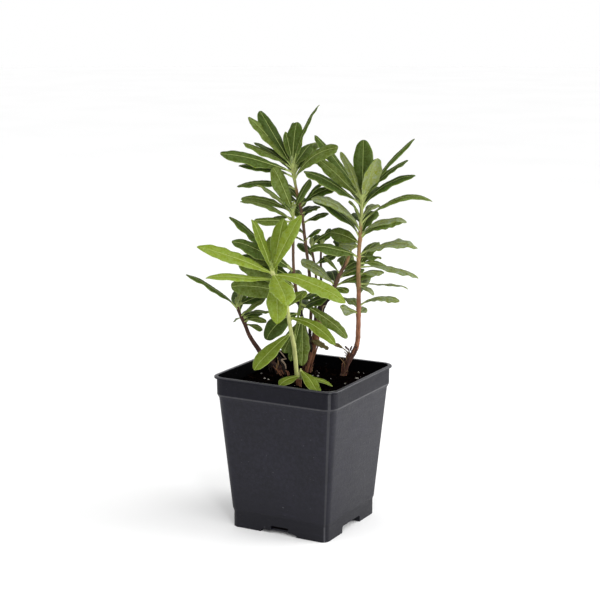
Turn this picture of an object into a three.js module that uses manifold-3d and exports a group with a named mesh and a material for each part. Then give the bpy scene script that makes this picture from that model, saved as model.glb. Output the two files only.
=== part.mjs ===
import * as THREE from 'three';
import { mergeVertices } from 'three/addons/utils/BufferGeometryUtils.js';
import Module from 'manifold-3d';

// A young rhododendron in its square nursery pot, in millimetres with +Z up.
// The origin is under the middle of the whole outline, level with the pot's feet.
// Shoots rise from the potting mix, and thinner ones branch off them.
// A shoot is one limb up to its first leaves, then stacked masses, each a length of the
// shoot with its leaves grown fast to it.

const wasm = await Module();
wasm.setup();

const GAP = 0.3; // clearance between pieces that touch

// Pot
const POT_HEIGHT = 129;
const LIP = { half: 57, corner: 11, thick: 1.8, bevel: 0.5 };
const BAND = { half: 55.2, topHalf: 55.3, corner: 10.5, foot: 113.2, top: 126.8 };
const WALL = { topHalf: 53.9, footHalf: 45.3, top: 111, foot: 16, corner: 10, footCorner: 6.5 };
const FOOT = { half: 44.4, corner: 6, top: 13.5 };
const WALL_THICK = 1.5;
// The gaps between the feet: one channel under the floor each way, narrower at its top
const CHANNELS = [
  { turn: 0, half: 17, height: 2.5 },
  { turn: Math.PI / 2, half: 16, height: 5.8 },
];
const CHANNEL_SLOPE = 1;
const DRAIN = { width: 16, offset: 1.3, top: 6.5 }; // slot over the lower channel
const CORNER_STEPS = 4;

// Potting mix
const SOIL_TOP = 119.5;
const SOIL_EDGE = 2.5; // how far the mix drops towards the wall
const SOIL_SHOULDER = 12;

// Plant: its own frame is turned in the pot
const PLANT_TURN = THREE.MathUtils.degToRad(28.8);
const LIMB_SIDES = 7;
const LIMB_STEP = 9;
const FLARE_HEIGHT = 7;

// Leaves: a blade widest past its middle, folded a little along its rib. An old one tapers
// long to its foot and ends bluntly, a young one is broader at its foot.
const BLADE_SWELL = 1.45;
const OLD_ROUND = { foot: 0.95, tip: 0.42 };
const YOUNG_ROUND = { foot: 0.65, tip: 0.6 };
const STALK_HALF = 1.08;
const STALK_TAPER = 0.5;
const LEAF_FOLD = 0.2;
const LEAF_THICK = 1.3;
const THICK_TAPER = 0.4;
const LEAF_STATIONS = [0, 0.12, 0.34, 0.62, 0.85, 0.95, 1];
const ROOM_STATIONS = 9;

// Spare leaves: each size is its least value and how much the seeded rule may add
const BACK_ARC = [25, 155];
const GOLDEN_SHARE = 0.618;
const TURN_SPREAD = 0.15;
const WHORL = { depth: 12, rise: 38, longest: 0.72 };
const SIDE = { rise: 22, longest: 0.62 };
const RISE_SPREAD = 20;
const LENGTH_SPREAD = 12;
const WIDTH = [10, 4];
const DROOP = [15, 35];
const LEAF_ROOM = 4.5; // how near a spare leaf may come to another leaf
const LIMB_ROOM = 4;

const COLOURS = {
  pot: '#2f2e33',
  soil: '#241a14',
  bark: '#7d4f3b',
  greenStem: '#a9b07a',
  leaf: '#4f6d3a',
  youngLeaf: '#7fa043',
};

// Shoots. A path goes from foot to tip. Radii are at the foot and at the tip.
// masses lists each mass and the height where it ends. A leaf is
// [height, heading, rise, length, width, droop, roll], angles in degrees, heading 0 to the
// plant's right and 90 to its back, roll turning the leaf's upper side to the front.
// spare is how many more the seeded rule tries, over BACK_ARC or the mass's own arc.
const SHOOTS = [
  {
    limb: 'stem_right',
    path: [[33, 15, SOIL_TOP], [35.5, 15, 130], [41, 14.5, 140], [44.5, 13.5, 152],
      [45, 12, 188], [44.5, 11, 215], [46, 10, 244], [47, 9, 272]],
    radii: [2.3, 1.2],
    flare: 1.4,
    bareTo: 170,
    masses: [
      { name: 'leaves_right_low', arc: [60, 150], top: 227.5, spare: 6 },
      { name: 'leaves_right_middle', arc: [60, 150], top: 257, spare: 5 },
      { name: 'leaves_right_top', arc: [60, 150], top: 272, spare: 8, whorl: true },
    ],
    leaves: [
      [174, 57, 20, 11, 8, 0, 30], [174, 202, 32, 18, 10, 20, 40], [180, 353, 39, 36, 9, 60, 20],
      [197, 321, 3, 17, 8, 40, 10], [199, 6, 0, 42, 8, 10, 5], [207, 331, 19, 22, 8, 20, 10],
      [213, 353, 7, 51, 9, 30, 8], [216, 18, 7, 27, 9, 30, 20], [221, 199, 33, 45, 13, 40, 40],
      [222, 40, 0, 25, 9, 20, 10], [223, 350, 34, 51, 12, 46, 25],
      [230, 150, 7, 19, 12, 10, 45], [233, 143, 23, 31, 13, 20, 45], [236, 16, 49, 42, 11, 60, 20],
      [237, 171, 68, 52, 12, 60, 15], [238, 351, 58, 44, 12, 76, 20], [242, 201, 71, 56, 14, 73, 32],
      [249, 0, 52, 66, 10, 64, 10], [252, 200, 66, 20, 12, 10, 0],
      [264, 197, 42, 58, 14, 20, 30], [260, 353, 62, 55, 11, 55, 25], [269, 162, 48, 52, 16, 15, 25],
      [269, 216, 68, 46, 13, 10, 0], [269, 300, 66, 42, 17, 12, 0], [270, 85, 71, 50, 17, 5, 0],
      [270, 142, 50, 69, 12, 10, 0], [271, 0, 53, 64, 8, 8, 10], [270, 346, 52, 50, 9, 22, 20],
    ],
  },
  {
    limb: 'stem_tall',
    path: [[4.5, 24.3, 147], [4.9, 23, 158], [6, 21, 184], [4, 19, 209], [1, 17, 232],
      [-2, 14, 257], [-7, 12, 280], [-10, 11, 298]],
    radii: [1.4, 1.1],
    flare: 0,
    bareTo: 225,
    masses: [
      { name: 'leaves_tall_low', top: 244, spare: 3 },
      { name: 'leaves_tall_middle', arc: [50, 150], top: 271, spare: 6 },
      { name: 'leaves_tall_top', arc: [55, 150], top: 298, spare: 8, whorl: true },
    ],
    leaves: [
      [233, 221, 34, 12, 7, 10, 20], [234, 334, 56, 18, 8, 40, 20],
      [249, 349, 34, 23, 9, 25, 25], [257, 334, 36, 18, 9, 30, 20], [263, 335, 57, 29, 11, 20, 20],
      [264, 16, 39, 33, 11, 25, 35],
      [277, 162, 23, 53, 11, 45, 20], [287, 184, 30, 47, 11, 35, 25],
      [291, 194, 26, 63, 14, 20, 40], [285, 341, 64, 48, 15, 54, 40],
      [294, 60, 39, 34, 12, 15, 0], [294, 174, 35, 46, 11, 15, 15], [295, 5, 80, 56, 8, 24, 16],
      [295, 72, 74, 38, 15, 0, 0], [295, 148, 57, 55, 16, 5, 15], [295, 167, 53, 55, 14, 10, 20],
      [297, 141, 76, 28, 8, 0, 0],
    ],
  },
  {
    limb: 'stem_left_centre',
    path: [[5.3, 21.8, 144.5], [2.6, 18.8, 153.5], [-1, 14.8, 168], [-5.4, 9.5, 187],
      [-8.1, 5.5, 205], [-9, 3, 222], [-9, 1, 240], [-9, 0, 262]],
    radii: [1.3, 1.1],
    flare: 0,
    bareTo: 166,
    masses: [
      { name: 'leaves_left_centre_low', top: 222, spare: 7 },
      { name: 'leaves_left_centre_top', top: 262, spare: 7, whorl: true },
    ],
    leaves: [
      [170, 225, -44, 34, 14, 10, 20],
      [171, 269, -46, 43, 12, 25, 0], [172, 251, -39, 43, 9, 20, 0], [174, 210, 1, 40, 17, 60, 40],
      [177, 332, 38, 28, 13, 20, 35], [183, 342, -20, 50, 11, 25, 38],
      [185, 326, 32, 31, 13, 15, 35], [187, 194, 29, 58, 18, 30, 55],
      [196, 189, 38, 53, 19, 25, 55], [203, 179, 36, 51, 17, 30, 50], [211, 193, 38, 58, 16, 20, 40],
      [211, 175, 43, 69, 11, 5, 10],
      [252, 188, 47, 48, 12, 50, 20], [252, 198, 10, 33, 10, 10, 30], [255, 144, 12, 22, 12, 30, 0],
      [256, 203, 60, 43, 10, 35, 0], [259, 172, 72, 41, 18, 10, 30], [259, 159, 31, 48, 12, 35, 20],
      [261, 32, 61, 30, 11, 5, 0],
    ],
  },
  {
    limb: 'stem_front',
    path: [[-4, -18, SOIL_TOP], [-6, -19, 129], [-8, -21, 151], [-11, -23, 168],
      [-14, -26, 187], [-18, -28, 199], [-23, -30, 211], [-27, -31, 219]],
    radii: [1.8, 1.4],
    flare: 0.4,
    bareTo: 150,
    young: true,
    masses: [
      { name: 'leaves_front_middle', top: 200, spare: 2 },
      { name: 'leaves_front_top', top: 219, spare: 4, whorl: true, arc: [80, 170] },
    ],
    leaves: [
      [156, 20, 80, 42, 6, 0, 0], [165, 217, -21, 45, 16, 25, 10], [178, 344, -1, 45, 12, 52, 30],
      [210, 204, 9, 60, 10, 5, 25], [211, 276, -46, 38, 17, 30, 0], [214, 284, -9, 47, 20, 20, 0],
      [214, 346, 2, 63, 16, 42, 40], [215, 194, 31, 66, 13, 17, 42], [217, 10, 68, 51, 14, 10, 40],
      [217, 54, 72, 44, 15, 5, 0], [217, 205, 72, 46, 12, 5, 60],
    ],
  },
  {
    limb: null,
    path: [[-3.5, -22.6, SOIL_TOP], [-3.4, -23, 127], [-3, -23.5, 136]],
    radii: [1.3, 1.1],
    flare: 0.2,
    bareTo: SOIL_TOP,
    young: true,
    masses: [{ name: 'leaves_front_foot', top: 136, spare: 0 }],
    leaves: [[129, 214, 12, 22, 10, 50, 20], [134, 304, -14, 30, 14, 30, 0],
      [130, 338, 0, 29, 6, 25, 20]],
  },
  {
    limb: 'stem_left',
    path: [[-19, 20, SOIL_TOP], [-24, 20, 127], [-34.5, 19, 137], [-40, 18, 145],
      [-45.5, 17, 154], [-49, 16, 163], [-53, 15, 172], [-56, 14, 181]],
    radii: [2.6, 1],
    flare: 1.4,
    bareTo: 158,
    masses: [{ name: 'leaves_left', arc: [40, 110], top: 181, spare: 4 }],
    leaves: [
      [164, 28, -11, 18, 8, 15, 20], [166, 336, 35, 22, 8, 60, 20], [169, 14, 39, 19, 8, 60, 20],
      [170, 135, -21, 11, 6, 10, 20], [171, 343, 49, 26, 9, 25, 20], [177, 194, 49, 54, 11, 26, 20],
      [180, 15, 27, 26, 11, 20, 30], [180, 333, 72, 22, 12, 10, 0],
    ],
  },
  {
    limb: 'stem_centre',
    path: [[3, 27, SOIL_TOP], [7, 26, 140], [11, 24, 157], [14.2, 22, 178]],
    radii: [2.7, 2.5],
    flare: 1.4,
    bareTo: 178,
    masses: [],
    leaves: [],
  },
  {
    limb: 'bough_centre',
    path: [[14.4, 22, 178 + GAP], [17, 21.8, 182.5], [22, 21.3, 188], [30, 19, 207],
      [35, 18, 216], [39, 19, 227]],
    radii: [2.1, 1.1],
    flare: 0.5,
    bareTo: 191,
    masses: [{ name: 'leaves_centre', top: 227, spare: 7 }],
    leaves: [
      [194, 323, 7, 15, 8, 30, 20], [195, 8, 28, 44, 10, 25, 25], [196, 202, 50, 38, 13, 25, 40],
      [201, 32, 36, 30, 9, 20, 20], [206, 204, 54, 22, 8, 15, 30], [208, 43, 32, 20, 9, 25, 20],
    ],
  },
  {
    limb: 'stem_thin_left',
    path: [[6.9, 28.8, 148], [9, 31, 162], [10, 30, 190], [9.5, 28, 208], [8, 27, 216],
      [6, 27, 229]],
    radii: [1.2, 0.9],
    flare: 0,
    bareTo: 205,
    masses: [{ name: 'leaves_thin_left', top: 229, spare: 5 }],
    leaves: [[212, 10, 34, 20, 9, 20, 20], [228, 17, 46, 30, 8, 35, 20]],
  },
  {
    limb: 'stem_thin_right',
    path: [[12.8, 27.6, 157], [14.5, 31, 172], [14, 33, 208], [14, 33, 221], [15, 33, 230]],
    radii: [1.2, 0.9],
    flare: 0,
    bareTo: 210,
    masses: [{ name: 'leaves_thin_right', top: 230, spare: 6 }],
    leaves: [[228, 54, 51, 17, 8, 0, 0]],
  },
];

const radians = THREE.MathUtils.degToRad;

// Closed skin through rings of equal point counts, capped at both ends
function loft(rings) {
  const count = rings[0].length;
  const index = [];
  for (let r = 0; r + 1 < rings.length; r++) {
    for (let k = 0; k < count; k++) {
      const next = (k + 1) % count;
      const [a, b] = [r * count + k, r * count + next];
      index.push(a, b, b + count, a, b + count, a + count);
    }
  }
  const top = (rings.length - 1) * count;
  for (let k = 1; k + 1 < count; k++) {
    index.push(0, k + 1, k);
    index.push(top, top + k, top + k + 1);
  }
  const geometry = new THREE.BufferGeometry().setFromPoints(rings.flat());
  geometry.setIndex(index);
  return geometry;
}

function toSolid(geometry) {
  const bare = geometry.clone();
  bare.deleteAttribute('normal');
  bare.deleteAttribute('uv');
  const merged = mergeVertices(bare, 1e-4);
  return new wasm.Manifold(new wasm.Mesh({
    numProp: 3,
    vertProperties: new Float32Array(merged.attributes.position.array),
    triVerts: new Uint32Array(merged.index.array),
  }));
}

// The largest body alone: loose scraps and sealed hollows go
function toGeometry(solid) {
  const [body] = solid.decompose().sort((a, b) => b.volume() - a.volume());
  const mesh = body.getMesh();
  const geometry = new THREE.BufferGeometry();
  geometry.setAttribute('position', new THREE.BufferAttribute(mesh.vertProperties, 3));
  geometry.setIndex(new THREE.BufferAttribute(mesh.triVerts, 1));
  geometry.computeVertexNormals();
  return geometry;
}

function material(colour, roughness) {
  return new THREE.MeshStandardMaterial({ color: colour, roughness, metalness: 0 });
}

function named(name, geometry, finish) {
  const mesh = new THREE.Mesh(geometry, finish);
  mesh.name = name;
  return mesh;
}

// Square ring with round corners at one height
function squareRing(half, corner, z) {
  const ring = [];
  const middle = half - corner;
  for (let side = 0; side < 4; side++) {
    const turn = side * Math.PI / 2;
    const [cx, cy] = [Math.cos(turn + Math.PI / 4), Math.sin(turn + Math.PI / 4)];
    for (let k = 0; k <= CORNER_STEPS; k++) {
      const angle = turn + (k / CORNER_STEPS) * Math.PI / 2;
      const x = Math.SQRT2 * middle * cx + corner * Math.cos(angle);
      const y = Math.SQRT2 * middle * cy + corner * Math.sin(angle);
      ring.push(new THREE.Vector3(x, y, z));
    }
  }
  return ring;
}

// Pot's outside, drawn in by a distance all round
function potSkin(inset, bottom, top) {
  const levels = [
    [FOOT.half, FOOT.corner, bottom],
    [FOOT.half, FOOT.corner, FOOT.top],
    [WALL.footHalf, WALL.footCorner, WALL.foot],
    [WALL.topHalf, WALL.corner, WALL.top],
    [BAND.half, BAND.corner, BAND.foot],
  ];
  if (top > BAND.foot) {
    levels.push([BAND.topHalf, BAND.corner, top]);
  }
  return levels.map(([half, corner, z]) => squareRing(half - inset, corner - inset, z));
}

// The two channels' room, grown by a distance for the floor above them
function channelCross(extra) {
  const bars = CHANNELS.map(({ turn, half, height }) => {
    const low = half + extra;
    const high = low - CHANNEL_SLOPE;
    const outline = new THREE.Shape([
      new THREE.Vector2(-low, -1),
      new THREE.Vector2(low, -1),
      new THREE.Vector2(high, height + extra),
      new THREE.Vector2(-high, height + extra),
    ]);
    const geometry = new THREE.ExtrudeGeometry(outline, { depth: 2 * LIP.half, bevelEnabled: false });
    geometry.translate(0, 0, -LIP.half);
    geometry.rotateX(Math.PI / 2);
    geometry.rotateZ(turn);
    return toSolid(geometry);
  });
  return wasm.Manifold.union(bars);
}

// Room inside the pot down into its four hollow feet
function potRoom(inset, top) {
  const room = toSolid(loft(potSkin(inset, inset, top)));
  return room.subtract(channelCross(inset));
}

function makePot() {
  const rings = potSkin(0, 0, BAND.top);
  rings.push(squareRing(LIP.half, LIP.corner, POT_HEIGHT - LIP.thick));
  rings.push(squareRing(LIP.half, LIP.corner, POT_HEIGHT - LIP.bevel));
  rings.push(squareRing(LIP.half - LIP.bevel, LIP.corner, POT_HEIGHT));
  let shell = toSolid(loft(rings))
    .subtract(channelCross(0))
    .subtract(potRoom(WALL_THICK, POT_HEIGHT + 1));
  for (const side of [-1, 1]) {
    const slot = new THREE.BoxGeometry(DRAIN.width, 2 * WALL_THICK + 1, 2 * DRAIN.top);
    slot.translate(DRAIN.offset, side * FOOT.half, 0);
    shell = shell.subtract(toSolid(slot));
  }
  return named('pot', toGeometry(shell), material(COLOURS.pot, 0.45));
}

function makeSoil() {
  const inset = WALL_THICK + GAP;
  const room = potRoom(inset, SOIL_TOP - SOIL_EDGE);
  const half = BAND.half - inset;
  const crown = loft([
    squareRing(half, BAND.corner - inset, SOIL_TOP - SOIL_EDGE - 1),
    squareRing(half, BAND.corner - inset, SOIL_TOP - SOIL_EDGE),
    squareRing(half - SOIL_SHOULDER, BAND.corner - inset, SOIL_TOP),
  ]);
  return named('soil', toGeometry(room.add(toSolid(crown))), material(COLOURS.soil, 1));
}

// Point of a shoot's path at a height
function makePath(points) {
  const curve = new THREE.CatmullRomCurve3(
    points.map((p) => new THREE.Vector3(...p)), false, 'catmullrom', 0.5);
  const samples = curve.getPoints(16 * (points.length - 1));
  return (height) => {
    let k = 1;
    while (k + 1 < samples.length && samples[k].z < height) k++;
    const [low, high] = [samples[k - 1], samples[k]];
    return low.clone().lerp(high, (height - low.z) / (high.z - low.z));
  };
}

function limbRadius(shoot, height) {
  const [foot, tip] = [shoot.path[0][2], shoot.path.at(-1)[2]];
  const share = (height - foot) / (tip - foot);
  const spread = Math.max(0, 1 - (height - foot) / FLARE_HEIGHT);
  return THREE.MathUtils.lerp(shoot.radii[0], shoot.radii[1], share) + shoot.flare * spread ** 2;
}

// Length of a shoot between two heights, cut level at both ends
function limb(shoot, from, to, tipScale) {
  const steps = Math.max(2, Math.round((to - from) / LIMB_STEP));
  const rings = [];
  for (let k = 0; k <= steps; k++) {
    const height = THREE.MathUtils.lerp(from, to, k / steps);
    const centre = shoot.at(height);
    const along = new THREE.Vector3(0, 0, 1);
    if (k > 0 && k < steps) {
      along.copy(shoot.at(height + 1)).sub(shoot.at(height - 1)).normalize();
    }
    const across = new THREE.Vector3(1, 0, 0).projectOnPlane(along).normalize();
    const other = along.clone().cross(across);
    const radius = limbRadius(shoot, height) * (k === steps ? tipScale : 1);
    const ring = [];
    for (let side = 0; side < LIMB_SIDES; side++) {
      const angle = side * 2 * Math.PI / LIMB_SIDES;
      ring.push(centre.clone()
        .addScaledVector(across, radius * Math.cos(angle))
        .addScaledVector(other, radius * Math.sin(angle)));
    }
    rings.push(ring);
  }
  return loft(rings);
}

// Place and directions of a leaf at a share of its length
function leafFrame(shoot, leaf, share) {
  const [height, heading, rise, length, , droop, roll] = leaf;
  const turn = radians(heading);
  const start = radians(rise);
  const bend = radians(Math.max(droop, 0.5));
  const angle = start - bend * share;
  const outward = (length / bend) * (Math.sin(start) - Math.sin(angle));
  const upward = (length / bend) * (Math.cos(angle) - Math.cos(start));
  const out = new THREE.Vector3(Math.cos(turn), Math.sin(turn), 0);
  const place = shoot.at(height).addScaledVector(out, outward);
  place.z += upward;
  const side = new THREE.Vector3(-Math.sin(turn), Math.cos(turn), 0);
  const up = new THREE.Vector3(0, 0, Math.cos(angle)).addScaledVector(out, -Math.sin(angle));
  const along = side.clone().cross(up);
  const lean = radians(roll) * (out.x < 0 ? -1 : 1);
  side.applyAxisAngle(along, lean);
  up.applyAxisAngle(along, lean);
  return { place, side, up };
}

function bladeHalf(shoot, leaf, share) {
  const turn = share ** BLADE_SWELL;
  const round = shoot.young ? YOUNG_ROUND : OLD_ROUND;
  const swell = Math.sin(Math.PI * turn) ** (turn < 0.5 ? round.foot : round.tip);
  return Math.max(STALK_HALF * (1 - STALK_TAPER * share), 0.5 * leaf[4] * swell);
}

function leafGeometry(shoot, leaf) {
  return loft(LEAF_STATIONS.map((share) => {
    const { place, side, up } = leafFrame(shoot, leaf, share);
    const half = bladeHalf(shoot, leaf, share);
    const thick = LEAF_THICK * (1 - THICK_TAPER * share);
    const edge = (sign) => place.clone()
      .addScaledVector(side, sign * half)
      .addScaledVector(up, LEAF_FOLD * half);
    return [
      place.clone().addScaledVector(up, thick / 2),
      edge(-1),
      place.clone().addScaledVector(up, -thick / 2),
      edge(1),
    ];
  }));
}

// Points over a leaf, near enough together to tell whether another one meets it
function leafPoints(shoot, leaf) {
  const points = [];
  for (let k = 1; k <= ROOM_STATIONS; k++) {
    const share = k / ROOM_STATIONS;
    const { place, side } = leafFrame(shoot, leaf, share);
    const half = bladeHalf(shoot, leaf, share);
    for (const across of [-1, 0, 1]) {
      points.push(place.clone().addScaledVector(side, across * half));
    }
  }
  return points;
}

// Numbers between 0 and 1 that come out the same every time
function seeded(seed) {
  let state = seed;
  return () => {
    state = (Math.imul(state, 1664525) + 1013904223) >>> 0;
    return state / 4294967296;
  };
}

// Spare leaves fill the side that the listed ones leave open, where they have room
function spareLeaves(shoot, mass, taken, random) {
  const longest = Math.max(...mass.leaves.map((leaf) => leaf[3]));
  const kind = mass.whorl ? WHORL : SIDE;
  const lowest = mass.whorl ? mass.top - WHORL.depth : mass.foot + 3;
  const added = [];
  for (let k = 0; k < mass.spare; k++) {
    const share = (k + 0.5) / mass.spare;
    const height = THREE.MathUtils.lerp(lowest, mass.top - 2, share);
    const turn = (0.5 + k * GOLDEN_SHARE + TURN_SPREAD * random()) % 1;
    const heading = THREE.MathUtils.lerp(...(mass.arc ?? BACK_ARC), turn);
    const rise = kind.rise + RISE_SPREAD * random();
    const length = longest * kind.longest + LENGTH_SPREAD * random();
    const width = WIDTH[0] + WIDTH[1] * random();
    const droop = DROOP[0] + DROOP[1] * random();
    const leaf = [height, heading, rise, length, width, droop, 0];
    const points = leafPoints(shoot, leaf);
    const crowded = points.some((point) => taken.some(
      (other) => other.shoot !== shoot && other.mass !== mass
        && point.distanceTo(other.place) < other.room));
    if (!crowded) {
      added.push(leaf);
      taken.push(...points.map((place) => ({ place, room: LEAF_ROOM, mass })));
    }
  }
  return added;
}

// Each mass takes the listed leaves that spring from its length of the shoot
function shareOut(shoot) {
  let foot = shoot.limb === null ? shoot.bareTo : shoot.bareTo + GAP;
  for (const mass of shoot.masses) {
    mass.foot = foot;
    mass.leaves = shoot.leaves.filter(([height]) => height > mass.foot && height < mass.top);
    foot = mass.top + GAP;
  }
}

function growPlant() {
  const random = seeded(20);
  const taken = [];
  for (const shoot of SHOOTS) {
    shoot.at = makePath(shoot.path);
    shareOut(shoot);
    for (let z = shoot.path[0][2]; z < shoot.path.at(-1)[2]; z += 3) {
      taken.push({ place: shoot.at(z), room: LIMB_ROOM, shoot });
    }
    for (const mass of shoot.masses) {
      for (const leaf of mass.leaves) {
        taken.push(...leafPoints(shoot, leaf).map((place) => ({ place, room: LEAF_ROOM, mass })));
      }
    }
  }
  const plant = new THREE.Group();
  for (const shoot of SHOOTS) {
    const bark = material(shoot.young ? COLOURS.greenStem : COLOURS.bark, 0.8);
    const green = material(shoot.young ? COLOURS.youngLeaf : COLOURS.leaf, 0.6);
    const foot = shoot.path[0][2] === SOIL_TOP ? SOIL_TOP + GAP : shoot.path[0][2];
    if (shoot.limb !== null) {
      plant.add(named(shoot.limb, limb(shoot, foot, shoot.bareTo, 1), bark));
    }
    for (const mass of shoot.masses) {
      mass.leaves.push(...spareLeaves(shoot, mass, taken, random));
      const last = mass === shoot.masses.at(-1);
      const from = Math.max(mass.foot, foot);
      const parts = [toSolid(limb(shoot, from, mass.top, last ? 0.5 : 1))];
      for (const leaf of mass.leaves) {
        parts.push(toSolid(leafGeometry(shoot, leaf)));
      }
      plant.add(named(mass.name, toGeometry(wasm.Manifold.union(parts)), green));
    }
  }
  plant.rotation.z = PLANT_TURN;
  return plant;
}

const group = new THREE.Group();
group.add(makePot(), makeSoil(), growPlant());
group.updateMatrixWorld(true);
const middle = new THREE.Box3().setFromObject(group, true).getCenter(new THREE.Vector3());
group.position.set(-middle.x, -middle.y, 0);

export default group;
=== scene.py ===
import random
from math import cos, exp, hypot, pi, radians, sin, sqrt

import bpy
from mathutils import Matrix, Quaternion, Vector, noise


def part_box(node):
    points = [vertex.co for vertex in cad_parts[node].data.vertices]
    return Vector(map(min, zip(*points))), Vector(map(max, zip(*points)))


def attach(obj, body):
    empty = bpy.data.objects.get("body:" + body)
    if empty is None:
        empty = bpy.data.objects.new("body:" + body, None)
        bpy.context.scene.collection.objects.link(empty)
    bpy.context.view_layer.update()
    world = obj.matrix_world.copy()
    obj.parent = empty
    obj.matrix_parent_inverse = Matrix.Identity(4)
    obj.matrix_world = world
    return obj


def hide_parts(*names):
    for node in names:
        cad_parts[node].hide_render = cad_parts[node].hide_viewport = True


# A young rhododendron in its square nursery pot.
# Shapes are worked out in millimetres: the pot in its own upright frame, the plant in a
# frame turned in the pot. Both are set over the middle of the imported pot, in metres.

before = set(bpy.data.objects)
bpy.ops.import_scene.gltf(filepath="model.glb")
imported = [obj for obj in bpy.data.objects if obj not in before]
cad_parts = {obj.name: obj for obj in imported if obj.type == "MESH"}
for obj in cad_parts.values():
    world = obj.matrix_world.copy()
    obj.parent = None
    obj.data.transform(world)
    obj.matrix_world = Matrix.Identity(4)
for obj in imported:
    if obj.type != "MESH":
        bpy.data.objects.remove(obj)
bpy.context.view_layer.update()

MM = 0.001
UP = Vector((0, 0, 1))
pot_low, pot_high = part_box("pot")
POT_MIDDLE = Vector(((pot_low.x + pot_high.x) / 2, (pot_low.y + pot_high.y) / 2, 0))
PLANT_TURN = radians(28.8)
IN_POT = Matrix.Translation(POT_MIDDLE) @ Matrix.Scale(MM, 4)
IN_PLANT = IN_POT @ Matrix.Rotation(PLANT_TURN, 4, "Z")

# Pot
POT_HEIGHT = 129
LIP_HALF, LIP_CORNER, LIP_THICK = 57, 11, 1.8
BAND_HALF, BAND_TOP_HALF, BAND_CORNER, BAND_FOOT, BAND_TOP = 55.2, 55.3, 10.5, 113.2, 126.8
WALL_TOP_HALF, WALL_CORNER, WALL_TOP = 53.9, 10, 111
WALL_FOOT_HALF, WALL_FOOT_CORNER, WALL_FOOT = 45.3, 6.5, 16
FOOT_HALF, FOOT_CORNER, FOOT_TOP = 44.4, 6, 13.5
WALL_THICK = 1.5
CHANNELS = [(0, 17, 2.5), (pi / 2, 16, 5.8)]  # turn, half width, height
CHANNEL_SLOPE = 1
DRAIN_WIDTH, DRAIN_OFFSET, DRAIN_TOP = 16, 1.3, 6.5
CORNER_STEPS = 14
GAP = 0.3

# Potting mix
SOIL_TOP = 119.5
SOIL_EDGE = 2.5
SOIL_SHOULDER = 12

# Leaves
BLADE_SWELL = 1.45
OLD_ROUND = (0.95, 0.42)
YOUNG_ROUND = (0.65, 0.6)
STALK_HALF = 1.08
STALK_TAPER = 0.5
LEAF_FOLD = 0.2
ROOM_STATIONS = 9
FLARE_HEIGHT = 7

# Spare leaves: each size is its least value and how much the seeded rule may add
BACK_ARC = (25, 155)
GOLDEN_SHARE = 0.618
TURN_SPREAD = 0.15
WHORL = {"depth": 12, "rise": 38, "longest": 0.72}
SIDE = {"rise": 22, "longest": 0.62}
RISE_SPREAD = 20
LENGTH_SPREAD = 12
WIDTH = (10, 4)
DROOP = (15, 35)
LEAF_ROOM = 4.5
LIMB_ROOM = 4


# Shader maths

def colour(code, share=1, blue=1):
    """#rrggbb for the shader, lighter or darker by a share. blue changes its blue alone."""
    levels = (int(code[k:k + 2], 16) / 255 for k in (1, 3, 5))
    plain = (level / 12.92 if level <= 0.04045 else ((level + 0.055) / 1.055) ** 2.4
             for level in levels)
    red, green, last = (min(1, channel * share) for channel in plain)
    return red, green, last * blue, 1


def maths(operation, turned=False):
    """An operator on wires and numbers that adds a Math node."""
    def apply(wire, other):
        first, second = (other, wire) if turned else (wire, other)
        return wire.finish.node("Math", {"operation": operation}, {0: first, 1: second})
    return apply


class Wire:
    """A number that varies over a surface."""

    def __init__(self, finish, socket):
        self.finish, self.socket = finish, socket

    __add__ = __radd__ = maths("ADD")
    __mul__ = __rmul__ = maths("MULTIPLY")
    __sub__ = maths("SUBTRACT")
    __rsub__ = maths("SUBTRACT", turned=True)

    def above(self, low, high):
        """0 under low, 1 over high and smooth between."""
        return self.finish.node("MapRange", {"interpolation_type": "SMOOTHSTEP"},
                                {"Value": self, "From Min": low, "From Max": high})


class Nodes:
    """A tree of nodes and the ways to add to it."""

    def __init__(self, tree):
        self.tree = tree

    def node(self, kind, settings, inputs, output=0):
        made = self.tree.nodes.new("ShaderNode" + kind)
        for key, value in settings.items():
            setattr(made, key, value)
        self.feed(made, inputs)
        return Wire(self, made.outputs[output])

    def feed(self, node, inputs):
        for key, value in inputs.items():
            if isinstance(value, Wire):
                self.tree.links.new(value.socket, node.inputs[key])
            else:
                node.inputs[key].default_value = value

    def mix(self, share, first, second):
        """A blend of two colours."""
        return self.node("Mix", {"data_type": "RGBA"}, {0: share, 6: first, 7: second}, 2)


class Finish(Nodes):
    """One material: its shader and the patterns that feed it."""

    def __init__(self, name, **shader):
        self.material = bpy.data.materials.new(name)
        self.material.use_nodes = True
        super().__init__(self.material.node_tree)
        self.wear(**shader)

    def place(self, stretch=(1, 1, 1)):
        """The point of the object in metres, stretched along its axes."""
        point = self.node("TexCoord", {}, {}, "Object")
        return self.node("Mapping", {}, {"Vector": point, "Scale": stretch})

    def specks(self, scale, detail=2, stretch=(1, 1, 1), rough=0.5):
        """Cloudy noise about half, with so many lumps to the metre."""
        inputs = {"Scale": scale, "Detail": detail, "Roughness": rough}
        return self.node("TexNoise", {}, {"Vector": self.place(stretch)} | inputs)

    def bump(self, height, strength, distance, under=None):
        inputs = {"Height": height, "Strength": strength, "Distance": distance}
        return self.node("Bump", {}, inputs | ({"Normal": under} if under else {}))

    def wear(self, **inputs):
        """What the shader takes."""
        shader = self.tree.nodes["Principled BSDF"]
        self.feed(shader, {key.replace("_", " "): value for key, value in inputs.items()})
        return self.material


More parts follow.
